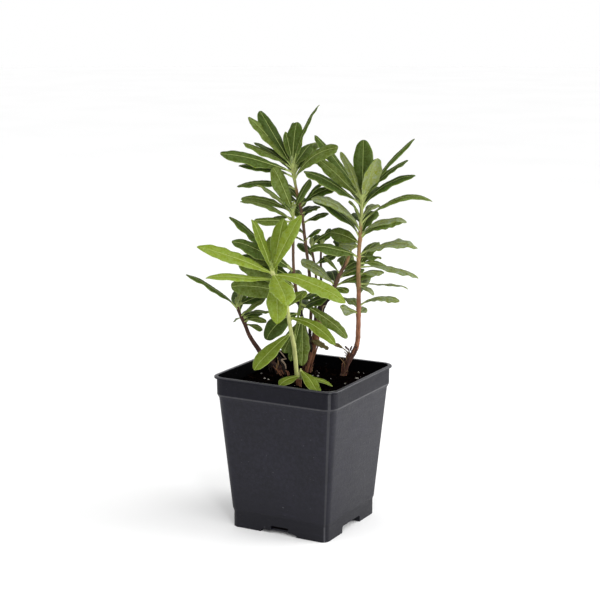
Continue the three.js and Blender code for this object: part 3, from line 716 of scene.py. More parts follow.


# Shoots, from foot to tip. A leaf is (height, heading, rise, length, width, droop, roll),
# angles in degrees, heading 0 to the plant's right and 90 to its back. A mass is its name,
# the height where it ends and how many spare leaves the seeded rule tries. fork is where a
# branch springs from inside its parent, and browned says how high each bark goes.
# Shoots that stand behind the others take the darker barks as painted shade.
SHOOTS = [
    Shoot("stem_right", radii=(2.3, 1.2), flare=1.4, bare_to=170, browned=(0.16, 0.5, 0.83), path=[
        (33, 15, SOIL_TOP), (35.5, 15, 130), (41, 14.5, 140), (44.5, 13.5, 152), (45, 12, 188),
        (44.5, 11, 215), (46, 10, 244), (47, 9, 272)
    ], masses=[
        Mass("leaves_right_low", 227.5, 6, arc=(60, 150), wavy=1.6, pale=0.8),
        Mass("leaves_right_middle", 257, 5, arc=(60, 150), pale=0.6),
        Mass("leaves_right_top", 272, 8, arc=(60, 150), whorl=True, wavy=0.6, pale=0.25),
    ], leaves=[
        (174, 57, 20, 11, 8, 0, 30), (174, 202, 32, 18, 10, 20, 40), (180, 353, 39, 36, 9, 60, 20),
        (197, 321, 3, 17, 8, 40, 10), (199, 6, 0, 42, 8, 10, 5), (207, 331, 19, 22, 8, 20, 10),
        (213, 353, 7, 51, 9, 30, 8), (216, 18, 7, 27, 9, 30, 20), (221, 199, 33, 45, 13, 40, 40),
        (222, 40, 0, 25, 9, 20, 10), (223, 350, 34, 51, 12, 46, 25), (230, 150, 7, 19, 12, 10, 45),
        (233, 143, 23, 31, 13, 20, 45), (236, 16, 49, 42, 11, 60, 20),
        (237, 171, 68, 52, 12, 60, 15), (238, 351, 58, 44, 12, 76, 20),
        (242, 201, 71, 56, 14, 73, 32), (249, 0, 52, 66, 10, 64, 10), (252, 200, 66, 20, 12, 10, 0),
        (264, 197, 42, 58, 14, 20, 30), (260, 353, 62, 55, 11, 55, 25),
        (269, 162, 48, 52, 16, 15, 25), (269, 216, 68, 46, 13, 10, 0),
        (269, 300, 66, 42, 17, 12, 0), (270, 85, 71, 50, 17, 5, 0), (270, 142, 50, 69, 12, 10, 0),
        (271, 0, 53, 64, 8, 8, 10), (270, 346, 52, 50, 9, 22, 20)
    ]),
    Shoot("stem_tall", radii=(1.4, 1.1), bare_to=225, browned=(0.1, 0.8, 0.88), dull=True,
          fork=(6.5, 26, 141), path=[
        (4.5, 24.3, 147), (4.9, 23, 158), (6, 21, 184), (4, 19, 209), (1, 17, 232), (-2, 14, 257),
        (-7, 12, 280), (-10, 11, 298)
    ], masses=[
        Mass("leaves_tall_low", 244, 3),
        Mass("leaves_tall_middle", 271, 6, arc=(50, 150)),
        Mass("leaves_tall_top", 298, 8, arc=(55, 150), whorl=True, wavy=0.6),
    ], leaves=[
        (233, 221, 34, 12, 7, 10, 20), (234, 334, 56, 18, 8, 40, 20), (249, 349, 34, 23, 9, 25, 25),
        (257, 334, 36, 18, 9, 30, 20), (263, 335, 57, 29, 11, 20, 20),
        (264, 16, 39, 33, 11, 25, 35), (277, 162, 23, 53, 11, 45, 20),
        (287, 184, 30, 47, 11, 35, 25), (291, 194, 26, 63, 14, 20, 40),
        (285, 341, 64, 48, 15, 54, 40), (294, 60, 39, 34, 12, 15, 0),
        (294, 174, 35, 46, 11, 15, 15), (295, 5, 80, 56, 8, 24, 16), (295, 72, 74, 38, 15, 0, 0),
        (295, 148, 57, 55, 16, 5, 15), (295, 167, 53, 55, 14, 10, 20), (297, 141, 76, 28, 8, 0, 0)
    ]),
    Shoot("stem_left_centre", radii=(1.3, 1.1), bare_to=166, browned=(0.4, 0.82, 0.86), dull=True,
          fork=(6.8, 25, 138), path=[
        (5.3, 21.8, 144.5), (2.6, 18.8, 153.5), (-1, 14.8, 168), (-5.4, 9.5, 187), (-8.1, 5.5, 205),
        (-9, 3, 222), (-9, 1, 240), (-9, 0, 262)
    ], masses=[
        Mass("leaves_left_centre_low", 222, 7),
        Mass("leaves_left_centre_top", 262, 7, whorl=True, wavy=0.6),
    ], leaves=[
        (170, 225, -44, 34, 14, 10, 20), (171, 269, -46, 43, 12, 25, 0),
        (172, 251, -39, 43, 9, 20, 0), (174, 210, 1, 40, 17, 60, 40),
        (177, 332, 38, 28, 13, 20, 35), (183, 342, -20, 50, 11, 25, 38),
        (185, 326, 32, 31, 13, 15, 35), (187, 194, 29, 58, 18, 30, 55),
        (196, 189, 38, 53, 19, 25, 55), (203, 179, 36, 51, 17, 30, 50),
        (211, 193, 38, 58, 16, 20, 40), (211, 175, 43, 69, 11, 5, 10),
        (252, 188, 47, 48, 12, 50, 20), (252, 198, 10, 33, 10, 10, 30),
        (255, 144, 12, 22, 12, 30, 0), (256, 203, 60, 43, 10, 35, 0),
        (259, 172, 72, 41, 18, 10, 30), (259, 159, 31, 48, 12, 35, 20), (261, 32, 61, 30, 11, 5, 0)
    ]),
    Shoot("stem_front", radii=(1.8, 1.4), flare=0.4, bare_to=150, young=True, path=[
        (-4, -18, SOIL_TOP), (-6, -19, 129), (-8, -21, 151), (-11, -23, 168), (-14, -26, 187),
        (-18, -28, 199), (-23, -30, 211), (-27, -31, 219)
    ], masses=[
        Mass("leaves_front_middle", 200, 2, pale=0.2),
        Mass("leaves_front_top", 219, 4, arc=(80, 170), whorl=True, pale=0.75),
    ], leaves=[
        (156, 20, 80, 42, 6, 0, 0), (165, 217, -21, 45, 16, 25, 10), (178, 344, -1, 45, 12, 52, 30),
        (210, 204, 9, 60, 10, 5, 25), (211, 276, -46, 38, 17, 30, 0), (214, 284, -9, 47, 20, 20, 0),
        (214, 346, 2, 63, 16, 42, 40), (215, 194, 31, 66, 13, 17, 42),
        (217, 10, 68, 51, 14, 10, 40), (217, 54, 72, 44, 15, 5, 0), (217, 205, 72, 46, 12, 5, 60)
    ]),
    Shoot(None, radii=(1.3, 1.1), flare=0.2, bare_to=SOIL_TOP, young=True, path=[
        (-3.5, -22.6, SOIL_TOP), (-3.4, -23, 127), (-3, -23.5, 136)
    ], masses=[
        Mass("leaves_front_foot", 136, 0),
    ], leaves=[
        (129, 214, 12, 22, 10, 50, 20), (134, 304, -14, 30, 14, 30, 0), (130, 338, 0, 29, 6, 25, 20)
    ]),
    Shoot("stem_left", radii=(2.6, 1), flare=1.4, bare_to=158, browned=(0.96, 0.98, 0.99), path=[
        (-19, 20, SOIL_TOP), (-24, 20, 127), (-34.5, 19, 137), (-40, 18, 145), (-45.5, 17, 154),
        (-49, 16, 163), (-53, 15, 172), (-56, 14, 181)
    ], masses=[
        Mass("leaves_left", 181, 4, arc=(40, 110)),
    ], leaves=[
        (164, 28, -11, 18, 8, 15, 20), (166, 336, 35, 22, 8, 60, 20), (169, 14, 39, 19, 8, 60, 20),
        (170, 135, -21, 11, 6, 10, 20), (171, 343, 49, 26, 9, 25, 20),
        (177, 194, 49, 54, 11, 26, 20), (180, 15, 27, 26, 11, 20, 30), (180, 333, 72, 22, 12, 10, 0)
    ]),
    Shoot("stem_centre", radii=(2.7, 2.5), flare=1.4, bare_to=178, path=[
        (3, 27, SOIL_TOP), (7, 26, 140), (11, 24, 157), (14.2, 22, 178)
    ]),
    Shoot("bough_centre", radii=(2.1, 1.1), flare=0.5, bare_to=191, browned=(0.16, 0.75, 0.9),
          dull=True, fork=(13.2, 22.4, 173), path=[
        (14.4, 22, 178 + GAP), (17, 21.8, 182.5), (22, 21.3, 188), (30, 19, 207), (35, 18, 216),
        (39, 19, 227)
    ], masses=[
        Mass("leaves_centre", 227, 7, pale=0.15),
    ], leaves=[
        (194, 323, 7, 15, 8, 30, 20), (195, 8, 28, 44, 10, 25, 25), (196, 202, 50, 38, 13, 25, 40),
        (201, 32, 36, 30, 9, 20, 20), (206, 204, 54, 22, 8, 15, 30), (208, 43, 32, 20, 9, 25, 20)
    ]),
    Shoot("stem_thin_left", radii=(1.2, 0.9), bare_to=205, browned=(0.6, 0.95, 0.98), dull=True,
          fork=(7.5, 26.5, 142), path=[
        (6.9, 28.8, 148), (9, 31, 162), (10, 30, 190), (9.5, 28, 208), (8, 27, 216), (6, 27, 229)
    ], masses=[
        Mass("leaves_thin_left", 229, 5),
    ], leaves=[
        (212, 10, 34, 20, 9, 20, 20), (228, 17, 46, 30, 8, 35, 20)
    ]),
    Shoot("stem_thin_right", radii=(1.2, 0.9), bare_to=210, browned=(0.6, 0.95, 0.98), dull=True,
          fork=(10.5, 25.2, 151), path=[
        (12.8, 27.6, 157), (14.5, 31, 172), (14, 33, 208), (14, 33, 221), (15, 33, 230)
    ], masses=[
        Mass("leaves_thin_right", 230, 6),
    ], leaves=[
        (228, 54, 51, 17, 8, 0, 0)
    ]),
]


def leaf_frame(shoot, leaf, share):
    """Place and directions of a leaf at a share of its length."""
    height, heading, rise, length, _, droop, roll = leaf
    turn, start = radians(heading), radians(rise)
    bend = radians(max(droop, 0.5))
    angle = start - bend * share
    outward = (length / bend) * (sin(start) - sin(angle))
    upward = (length / bend) * (cos(angle) - cos(start))
    out = bearing(turn)
    place = shoot.at(height) + out * outward + UP * upward
    side = Vector((-sin(turn), cos(turn), 0))
    up = UP * cos(angle) - out * sin(angle)
    along = side.cross(up)
    lean = Quaternion(along, radians(roll) * (-1 if out.x < 0 else 1))
    return place, lean @ side, lean @ up, along


def blade_half(leaf, share, slim, blunt):
    turn = share ** BLADE_SWELL
    swell = sin(pi * turn) ** (slim if turn < 0.5 else blunt) if share < 1 else 0
    return max(STALK_HALF * (1 - STALK_TAPER * share), 0.5 * leaf[4] * swell)


def leaf_points(shoot, leaf):
    """Points over a leaf, near enough together to tell whether another one meets it."""
    points = []
    for k in range(1, ROOM_STATIONS + 1):
        share = k / ROOM_STATIONS
        place, side, _, _ = leaf_frame(shoot, leaf, share)
        half = blade_half(leaf, share, *(YOUNG_ROUND if shoot.young else OLD_ROUND))
        points += [place + side * (across * half) for across in (-1, 0, 1)]
    return points


def seeded(seed):
    """Numbers between 0 and 1 that come out the same every time."""
    while True:
        seed = (seed * 1664525 + 1013904223) % 2 ** 32
        yield seed / 2 ** 32


def spare_leaves(shoot, mass, taken, numbers):
    """Leaves for the side that the listed ones leave open, where they have room."""
    longest = max(leaf[3] for leaf in mass.leaves)
    kind = WHORL if mass.whorl else SIDE
    lowest = mass.top - kind["depth"] if mass.whorl else mass.foot + 3
    added = []
    for k in range(mass.spare):
        height = mean(lowest, mass.top - 2, (k + 0.5) / mass.spare)
        turn = (0.5 + k * GOLDEN_SHARE + TURN_SPREAD * next(numbers)) % 1
        heading = mean(*mass.arc, turn)
        sizes = ((kind["rise"], RISE_SPREAD), (longest * kind["longest"], LENGTH_SPREAD),
                 WIDTH, DROOP)
        leaf = (height, heading, *(least + spread * next(numbers) for least, spread in sizes), 0)
        points = leaf_points(shoot, leaf)
        crowded = any(
            (point - place).length < room
            for place, room, owner in taken
            if owner is not shoot and owner is not mass
            for point in points)
        if not crowded:
            added.append(leaf)
            taken += [(place, LEAF_ROOM, mass) for place in points]
    mass.leaves += added


def grow_leaves(shoots):
    """Each mass gets its listed leaves and its spare ones."""
    numbers = seeded(20)
    taken = []
    for shoot in shoots:
        height = shoot.foot
        while height < shoot.tip:
            taken.append((shoot.at(height), LIMB_ROOM, shoot))
            height += 3
        for mass in shoot.masses:
            taken += [(place, LEAF_ROOM, mass)
                      for leaf in mass.leaves for place in leaf_points(shoot, leaf)]
    for shoot in shoots:
        for mass in shoot.masses:
            spare_leaves(shoot, mass, taken, numbers)


# Leaf blades

ACROSS = (0, 0.2, 0.42, 0.62, 0.8, 0.93, 1)  # shares from rib to margin
STATION_EVERY, LEAST_STATIONS, STATION_EASE = 1.25, 14, 1.45
VEIN_EVERY = 3.6
VEIN_SLOPE = 0.75
VEIN_DEEP, VEIN_WIDE = 0.16, 0.16


class Blade:
    """How one leaf differs from the next."""

    def __init__(self, leaf, young, chance, wavy=1, pale=0):
        self.leaf = leaf
        self.length = leaf[3]
        slim, blunt = YOUNG_ROUND if young else OLD_ROUND
        draw = chance.uniform
        self.slim = slim - draw(0, 0.15)
        self.blunt = blunt + draw(-0.03, 0.12)
        self.wave = wavy * (draw(0.7, 1.3) if young else draw(1.2, 2.4))
        self.pitch = draw(5, 9)
        self.phases = (draw(0, 99), draw(0, 99))
        self.curl = draw(0.1, 0.28) if young else draw(0.2, 0.55)
        self.twist = radians(draw(-16, 16))
        self.bow = draw(-0.025, 0.025)
        self.sway = wavy * draw(0.004, 0.014)
        self.sway_phase = draw(0, 6.3)
        self.hook = wavy * draw(0, 0.9)
        self.vein_start = chance.random()
        if young:
            self.under, self.margin, self.rib = YOUNG_UNDER, YOUNG_UNDER, YOUNG_RIB
            self.upper = YOUNG_UPPERS[chance.random() < pale]
        else:
            self.under, self.margin, self.rib = UNDER, MARGIN, RIB
            self.upper = chance.choice(UPPERS)
            if chance.random() < pale:
                self.upper = SAGE_UPPER

    def rib_half(self, share, half):
        return min(0.5 * half, 0.34 - 0.2 * share)

    def ripple(self, share, side, shift=0):
        """Uneven wave along one margin, about 0."""
        return noise.noise(Vector((share * self.length / self.pitch, self.phases[side] + shift, 2)))

    def half(self, share, side):
        """Half width at a share of the length, with an uneven outline."""
        plain = blade_half(self.leaf, share, self.slim, self.blunt)
        return plain * (1 + 0.16 * self.ripple(share, side, 30) * smooth(plain, 1.2, 3))

    def rise(self, share):
        """How far the rib stands off its plain arc: it sways, and its tip hooks down."""
        sway = self.sway * sin(7.5 * share + self.sway_phase) * smooth(share, 0.05, 0.4)
        return self.length * (sway - self.hook * max(0, share - 0.78) ** 2)

    def height(self, share, u, half, side):
        """How far the blade stands off its middle plane: folded, wavy, its margin rolled under."""
        x = u * half
        blade = smooth(half, 1.2, 3.5)
        fold = LEAF_FOLD * x * (1 - 0.3 * u * u)
        roll = self.curl * half * max(0, u - 0.45) ** 2 / 0.3
        wave = self.wave * u * u * self.ripple(share, side) * blade
        vein = (share * self.length - VEIN_SLOPE * x) / VEIN_EVERY + self.vein_start + 0.5 * side
        groove = VEIN_DEEP * exp(-((vein % 1 - 0.5) / VEIN_WIDE) ** 2) * blade
        return fold - roll * blade + wave - groove * smooth(u, 0.05, 0.25) * (1 - u ** 4)


LANES = len(ACROSS)
STALK_THICK, BLADE_THICK = 1.15, 0.42
RIDGE = (0.34, 0.12)  # how proud the rib stands below, at the foot and at the tip
TIP_SHARE = 0.18
STALK_WIDTH = 1.2


def blade_ring(shoot, blade, share, tip):
    """One section of a leaf, its rib let in above and proud below, and its least half width."""
    place, side, up, along = leaf_frame(shoot, blade.leaf, share)
    turn = Quaternion(along, blade.twist * share * share)
    side, up = turn @ side, turn @ up
    place = place + side * (blade.bow * blade.length * sin(pi * share)) + up * blade.rise(share)
    thick = mean(STALK_THICK, BLADE_THICK, smooth(share, 0.02, 0.22)) * (1 - 0.3 * share) * tip
    halves = [blade.half(share, 0) * tip, blade.half(share, 1) * tip]
    rib = blade.rib_half(share, min(halves))
    tops, bottoms = [], []
    for which, sign in ((0, -1), (1, 1)):
        half = halves[which]
        for v in ACROSS:
            x = rib + (half - rib) * v
            u = x / half
            level = blade.height(share, u, half, which)
            edge = 0.5 * thick * sqrt(max(0, 1 - u ** 5))
            spot = place + side * (sign * x)
            tops.append(spot + up * (level + edge))
            bottoms.append(spot + up * (level - edge))
    groove = place + up * (0.5 * thick - 0.16 * smooth(share, 0.05, 0.2))
    ridge = place - up * (0.5 * thick + mean(*RIDGE, share) * tip)
    under = bottoms[LANES - 2::-1] + [ridge] + bottoms[LANES:-1]
    return under + tops[:LANES - 1:-1] + [groove] + tops[:LANES], min(halves)


def add_blade(skin, shoot, blade):
    """One closed leaf: a thin stalk that widens to a blade."""
    count = max(LEAST_STATIONS, round(blade.length / STATION_EVERY))
    shares = [1 - (1 - k / count) ** STATION_EASE for k in range(count + 1)]
    sections = [blade_ring(shoot, blade, share, 1 if share < 1 else TIP_SHARE) for share in shares]
    margin, rib = [blade.margin], [blade.rib] * 2
    upper, under = [blade.upper] * (LANES - 2), [blade.under] * (LANES - 1)
    lanes = under + rib + under + margin + upper + rib + upper + margin

    def finish_at(r, k):
        stalk = sections[r][1] < STALK_WIDTH and r < count // 2
        return blade.rib if stalk else lanes[(k + 1) % len(lanes)]

    skin.loft([ring for ring, _ in sections], finish_at)


BUD_SCALES = 9
BLADE_SHARP = 62


def add_bud(skin, shoot, mass, chance):
    """The resting bud at a shoot's tip: short scales close round each other."""
    for k in range(BUD_SCALES):
        heading = 137.5 * k + 20 * chance.random()
        inner = k / BUD_SCALES
        scale = (mass.top - 1.6 + 1.4 * inner, heading, 62 + 24 * inner, 4.5 + 4 * inner,
                 3.4 - inner, 2, 0)
        blade = Blade(scale, shoot.young, chance, 0)
        blade.curl, blade.twist = 0.1, 0
        blade.upper = blade.rib
        add_blade(skin, shoot, blade)


def make_leaves(shoots):
    for shoot in shoots:
        for mass in shoot.masses:
            chance = random.Random(mass.name)
            skin = Skin()
            for leaf in mass.leaves:
                add_blade(skin, shoot, Blade(leaf, shoot.young, chance, mass.wavy, mass.pale))
            if shoot.limb and mass is shoot.masses[-1]:
                add_bud(skin, shoot, mass, chance)
            piece = skin.make(mass.name.replace("leaves", "blades"), IN_PLANT, BLADE_SHARP)
            settle(piece, "young_leaf" if shoot.young else "leaf", mass.name)


# Bark

LIMB_SIDES = 22
LIMB_STEP = 0.9
IN_SOIL = 1.4  # how far a limb's foot goes on down into the mix
FORK_RINGS = 3
FORK_SWELL = (1.35, 1.1)
LEAF_SHOULDER = 0.24
SCAR = 0.14
SCAR_EVERY = 6
BARK_ZONES = (OLD_BARK, RED_BARK, TAN_BARK, TOP_SKIN)
# Darker barks for the shoots behind: dead and brown bark stand for painted shade.
SHADE_BARK_ZONES = (DEAD_BARK_AND_SHADE, SHADE_BROWN_BARK, TAN_BARK, TOP_SKIN)
BROWN_FOOT = 7  # how far up a young shoot is still brown


def node_swell(shoot, height, angle):
    """The shoulder under each leaf, and the old leaf scars on bare wood."""
    def knob(lift, heading, size, sharp):
        if abs(lift) >= 2:
            return 0
        return size * exp(-lift * lift) * max(0, cos(angle - heading)) ** sharp

    swell = sum(knob((height - leaf[0] + 0.6) / 1.6, radians(leaf[1]), LEAF_SHOULDER, 2)
                for mass in shoot.masses for leaf in mass.leaves)
    swell += sum(knob((height - shoot.foot - SCAR_EVERY * (k + 0.7)) / 0.8, 2.4 * k, SCAR, 3)
                 for k in range(int((shoot.tip - shoot.foot) / SCAR_EVERY)))
    return min(swell, 0.35)


def relief(shoot, height, angle, age):
    """Share that the bark stands in or out: long fibres and plates on old wood, smooth on young."""
    fibre = noise.noise(Vector((2.6 * cos(angle), 2.6 * sin(angle), height / 9)))
    plate = noise.noise(Vector((1.5 * cos(angle), 1.5 * sin(angle), height / 2.6 + 40)))
    return age * (0.2 * fibre + 0.12 * plate) + node_swell(shoot, height, angle)


def make_limb(shoot):
    """One skin up the whole shoot, from in the mix or inside its parent to its tip."""
    lowest = shoot.foot if shoot.fork else shoot.foot - IN_SOIL
    count = round((shoot.tip - lowest) / LIMB_STEP)
    rings, shares = [], []
    if shoot.fork:
        inside, start = Vector(shoot.fork), shoot.at(shoot.foot)
        along = (start - inside).normalized()
        for k in range(FORK_RINGS):
            share = k / FORK_RINGS
            swell = shoot.radius(shoot.foot) * mean(*FORK_SWELL, share)
            rings.append(tube_ring(inside.lerp(start, share), along, lambda _: swell))
            shares.append(0)
    for k in range(count + 1):
        height = mean(lowest, shoot.tip, k / count)
        along = (shoot.at(height + 1) - shoot.at(height - 1)).normalized()
        share = (height - shoot.foot) / (shoot.tip - shoot.foot)
        age = 0.12 if shoot.young else mean(1, 0.2, smooth(share, 0, 0.8))
        narrow = 1 - 0.5 * smooth(height, shoot.tip - 3, shoot.tip)
        plain = shoot.radius(max(height, shoot.foot)) * narrow
        rings.append(tube_ring(shoot.at(height), along,
                               lambda angle: plain * (1 + relief(shoot, height, angle, age))))
        shares.append(share)

    def finish_at(r, k):
        if shoot.young:
            return RED_BARK if shares[r] * (shoot.tip - shoot.foot) < BROWN_FOOT else YOUNG_SKIN
        ragged = shares[r] + 0.06 * noise.noise(Vector((k * 0.7, r * 0.25, 5)))
        # Painted shade: shoots behind take the darker barks.
        zones = SHADE_BARK_ZONES if shoot.dull else BARK_ZONES
        return zones[sum(ragged > limit for limit in shoot.browned)]

    limb = block("bark_" + shoot.name, rings, finish_at, IN_PLANT)
    nodes = [shoot.limb] if shoot.limb else []
    settle(limb, "green_stem" if shoot.young else "bark", *nodes)


def tube_ring(centre, along, radius, sides=LIMB_SIDES):
    """Ring round a limb; radius(angle) gives its distance out."""
    across = Vector((1, 0, 0))
    across = (across - along * across.dot(along)).normalized()
    other = along.cross(across)
    angles = [2 * pi * k / sides for k in range(sides)]
    return [centre + (across * cos(angle) + other * sin(angle)) * radius(angle) for angle in angles]


# Old bark at the feet: strips to each stem, and how far up they go
FLAKED = {"stem_right": (46, 17), "stem_centre": (90, 42), "stem_left": (34, 14)}
FLAKE_BARKS = (OLD_BARK, OLD_BARK, RED_BARK, TAN_BARK)


def make_flakes(shoots):
    chance = random.Random(5)
    for shoot in shoots:
        if shoot.name not in FLAKED:
            continue
        count, reach = FLAKED[shoot.name]
        skin = Skin()
        for _ in range(count):
            height = shoot.foot + reach * chance.random() ** 1.4
            angle = chance.uniform(0, 2 * pi)
            foot = shoot.at(height) + bearing(angle) * (shoot.radius(height) * 0.96)
            heading = angle + chance.choice((-1, 1)) * chance.uniform(0.9, 1.5)
            rise, length = radians(chance.uniform(55, 100)), chance.uniform(3, 9)
            width, finish = chance.uniform(0.6, 1.7), chance.choice(FLAKE_BARKS)
            sliver(skin, foot, heading, rise, length, width, finish, chance, 0.35)
        settle(skin.make("flakes_" + shoot.name, IN_PLANT, TORN_SHARP), "bark")


# Shreds of old bark: where each strand runs in the plant's frame, its width, how many lie
# together and how far they stray. The mix's own level is about 119.
IN_MIX = 118
SHRED_SHARP = 50
STRAND_SIDES = 8
SHREDS = {
    "stem_left": [
        ([(-29.6, 19, 137), (-25.5, 18.5, 129), (-21, 18, IN_MIX)], 1.5, 4, 1.5, DEAD_BARK_AND_SHADE),
        ([(-22.6, 18, 141), (-19, 17.5, 131), (-15.5, 17, IN_MIX)], 1.3, 4, 1.3, DEAD_BARK_AND_SHADE),
        ([(-31.9, 18, 145.5), (-30, 18, 134), (-27, 19, 122.3)], 1, 2, 0.9, DEAD_BARK_AND_SHADE),
        ([(-26, 16, 130), (-21.5, 15, 124), (-18, 14.5, IN_MIX)], 1.2, 3, 1.6, RED_BARK),
        ([(-28, 22, 136), (-23, 22, 128), (-21, 22, IN_MIX)], 1.5, 2, 1.8, DEAD_BARK_AND_SHADE),
        ([(-22.5, 17, 139), (-20.3, 16.5, 140.5), (-16, 16, 134.6)], 1.4, 1, 0, FIBRE),
        ([(-15.6, 16, 134.9), (-19.4, 15.8, 133.4), (-17, 15.5, 129.6), (-15.4, 15, 126.4)],
         1.3, 1, 0, FIBRE),
        ([(-15.8, 15, 128), (-14.2, 15, 123), (-13, 15, IN_MIX)], 1, 2, 0.7, RED_BARK),
    ],
    "stem_centre": [
        ([(-1, 27, IN_MIX), (1.6, 26, 128), (4.4, 25, 140), (5.6, 24.5, 147)],
         1.5, 5, 1.2, OLD_BARK),
        ([(3, 24, IN_MIX), (5.4, 23.6, 130), (9, 23.4, 143), (10.8, 23, 152)],
         1.5, 5, 1.1, RED_BARK),
        ([(3.8, 25, IN_MIX), (6.3, 24.4, 131), (9, 23.8, 142)], 1.1, 3, 0.6, TAN_BARK),
        ([(7, 22, IN_MIX), (9.5, 21, 123), (12, 20.5, IN_MIX)], 0.8, 2, 0.6, DEAD_BARK_AND_SHADE),
    ],
    "bough_centre": [
        ([(12, 21, 165), (13.2, 20.6, 173), (15.4, 20, 181), (19.5, 19.6, 187)],
         1.7, 5, 0.8, OLD_BARK),
        ([(13.8, 21, 167), (15.4, 20.4, 175), (18.2, 20, 182), (20.6, 20, 186)],
         1.5, 4, 0.7, DEAD_BARK_AND_SHADE),
        ([(14.2, 20, 172), (16, 19.6, 178), (18.6, 19.4, 183)], 0.9, 3, 0.9, FIBRE),
    ],
}


def strand(skin, path, width, finish, chance, flat=0.45, turn=None):
    """A torn strip that follows a path, thinner at both ends and uneven."""
    points = trace(path, 5)
    last = len(points) - 1
    turn = chance.uniform(0, pi) if turn is None else turn
    rings = []
    for k, point in enumerate(points):
        ahead = (points[min(k + 1, last)] - points[max(k - 1, 0)]).normalized()
        bulge = 0.3 + 0.7 * sin(pi * mean(0.1, 0.9, k / last))
        half = 0.5 * width * bulge * chance.uniform(0.75, 1.2)
        spin = turn + 1.2 * (k / last)

        def reach(angle):
            return half * hypot(cos(angle - spin), flat * sin(angle - spin))

        rings.append(tube_ring(point, ahead, reach, STRAND_SIDES))
    skin.loft(rings, finish)


def make_shreds():
    chance = random.Random(8)
    for name, strands in SHREDS.items():
        skin = Skin()
        for path, width, count, stray, finish in strands:
            for _ in range(count):
                shift = Vector((chance.gauss(0, 1), chance.gauss(0, 0.7), 0)) * stray
                bent = [Vector(point) + shift + Vector([chance.gauss(0, 0.35) for _ in range(3)])
                        for point in path]
                top = max(range(len(bent)), key=lambda at: bent[at].z)
                bent[top].z -= 6 * chance.random() * stray
                strand(skin, bent, width * chance.uniform(0.6, 1.2), finish, chance)
        settle(skin.make("shreds_" + name, IN_PLANT, SHRED_SHARP), "bark")


# Withered leaves: one hangs on a long stalk from the bend of the right stem, beside a forked
# stub, the other droops from the trunk in the middle. A strand is its path, width, finish,
# flatness and turn.
WITHERED_STRANDS = [
    ([(37.4, 15, 139.5), (34.4, 13, 142.7), (31, 12, 145.4)], 1.2, WITHERED, 0.8, None),
    ([(31.4, 12, 145), (28.1, 11, 147.3), (24.3, 10, 148.5)], 3.4, WITHERED, 0.15, -0.3),
    ([(5.7, 22, 148.1), (9.1, 21, 148.2), (13.2, 20, 146.4), (17.4, 19, 144), (20.3, 18, 142.7)],
     5, WITHERED, 0.15, -0.3),
    ([(37.6, 15, 142), (35.6, 14.4, 144), (34, 14, 146)], 1.7, OLD_BARK, 0.8, None),
    ([(38.4, 15, 142), (39, 14.2, 144.2), (39.8, 14, 146)], 1.7, OLD_BARK, 0.8, None),
]


def make_dead_leaf():
    chance = random.Random(3)
    skin = Skin()
    for path, width, finish, flat, turn in WITHERED_STRANDS:
        strand(skin, path, width, finish, chance, flat, turn)
    settle(skin.make("dead_leaf", IN_PLANT, SHRED_SHARP), "bark")


# Camera, light and floor

VIEW_AZIMUTH, VIEW_ELEVATION, VIEW_DISTANCE = 28.8, 11.3, 1.268
VIEW_ACROSS, VIEW_HEIGHT = -0.0035, 0.1879
FOCAL_PIXELS = 1549
IMAGE_PIXELS = 600
SENSOR = 36


def towards(azimuth, elevation):
    """A direction from the object, azimuth 0 in front and 90 to the right."""
    turn, lift = radians(azimuth), radians(elevation)
    return Vector((sin(turn) * cos(lift), -cos(turn) * cos(lift), sin(lift)))


def add_camera():
    back = towards(VIEW_AZIMUTH, VIEW_ELEVATION)
    target = POT_MIDDLE + bearing(radians(VIEW_AZIMUTH)) * VIEW_ACROSS + UP * VIEW_HEIGHT
    camera = link("camera", bpy.data.cameras.new("camera"))
    camera.data.sensor_width = SENSOR
    camera.data.lens = SENSOR * FOCAL_PIXELS / IMAGE_PIXELS
    camera.data.clip_end = 50
    camera.location = target + back * VIEW_DISTANCE
    camera.rotation_euler = back.to_track_quat("Z", "Y").to_euler()
    bpy.context.scene.camera = camera


def add_lamp(name, kind, azimuth, elevation, energy):
    """A lamp that shines at the object."""
    lamp = link(name, bpy.data.lights.new(name, kind))
    lamp.data.energy = energy
    lamp.rotation_euler = towards(azimuth, elevation).to_track_quat("Z", "Y").to_euler()
    return lamp


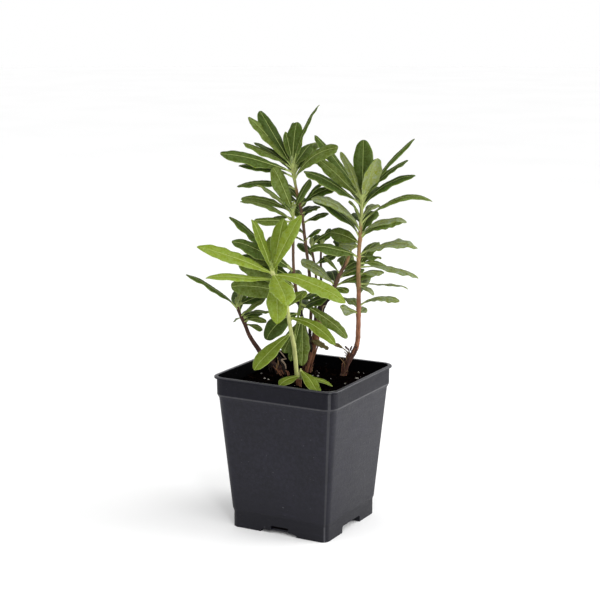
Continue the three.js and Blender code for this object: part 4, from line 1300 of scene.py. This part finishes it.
def add_strip_light(name, azimuth, elevation, distance, size, power):
    """An upright lamp that gleams along the pot's edges."""
    lamp = add_lamp(name, "AREA", azimuth, elevation, power)
    lamp.data.shape = "RECTANGLE"
    lamp.data.size, lamp.data.size_y = size
    lamp.location = POT_MIDDLE + UP * 0.1 + towards(azimuth, elevation) * distance
    lamp.visible_camera = False


FLOOR_REACH = 8000
FLOOR_SIDES = 48
WHITE = (1, 1, 1, 1)
DIM = (0.6, 0.6, 0.6, 1)


def add_studio():
    world = bpy.data.worlds.new("studio")
    world.use_nodes = True
    air = Nodes(world.node_tree)
    direction = air.node("TexCoord", {}, {}, "Generated")
    lift = air.node("SeparateXYZ", {}, {0: direction}, "Z")
    sky = air.mix(lift.above(0.14, 0.57), WHITE, DIM)
    air.feed(world.node_tree.nodes["Background"], {"Color": sky})
    bpy.context.scene.world = world
    add_lamp("key_light", "SUN", 80, 52, 1.1).data.angle = radians(60)
    add_lamp("fill_light", "SUN", -35, 50, 0.6).data.angle = radians(70)
    add_strip_light("corner_light", 41, 18, 1.2, (0.12, 0.8), 4)
    add_strip_light("side_light", 122, 12, 1.3, (1.2, 0.8), 15)
    floor = Finish("pale_floor", Specular_IOR_Level=0.1)
    cloud = floor.specks(3)
    tone = floor.mix(cloud, colour("#f4f4f4"), colour("#fafafa"))
    turns = [2 * pi * k / FLOOR_SIDES for k in range(FLOOR_SIDES)]
    edge = [(FLOOR_REACH * cos(turn), FLOOR_REACH * sin(turn)) for turn in turns]
    rings = [[(x, y, z) for x, y in edge] for z in (-20, -0.02)]
    finish = floor.wear(Base_Color=tone, Roughness=0.85 + 0.1 * cloud)
    block("floor", rings, finish, Matrix.Scale(MM, 4), 30)
    bpy.context.scene.view_settings.view_transform = "Standard"
    bpy.context.scene.view_settings.look = "None"


add_camera()
make_pot()
make_soil()
make_crumbs()
grow_leaves(SHOOTS)
make_leaves(SHOOTS)
for each in SHOOTS:
    make_limb(each)
make_flakes(SHOOTS)
make_shreds()
make_dead_leaf()
add_studio()
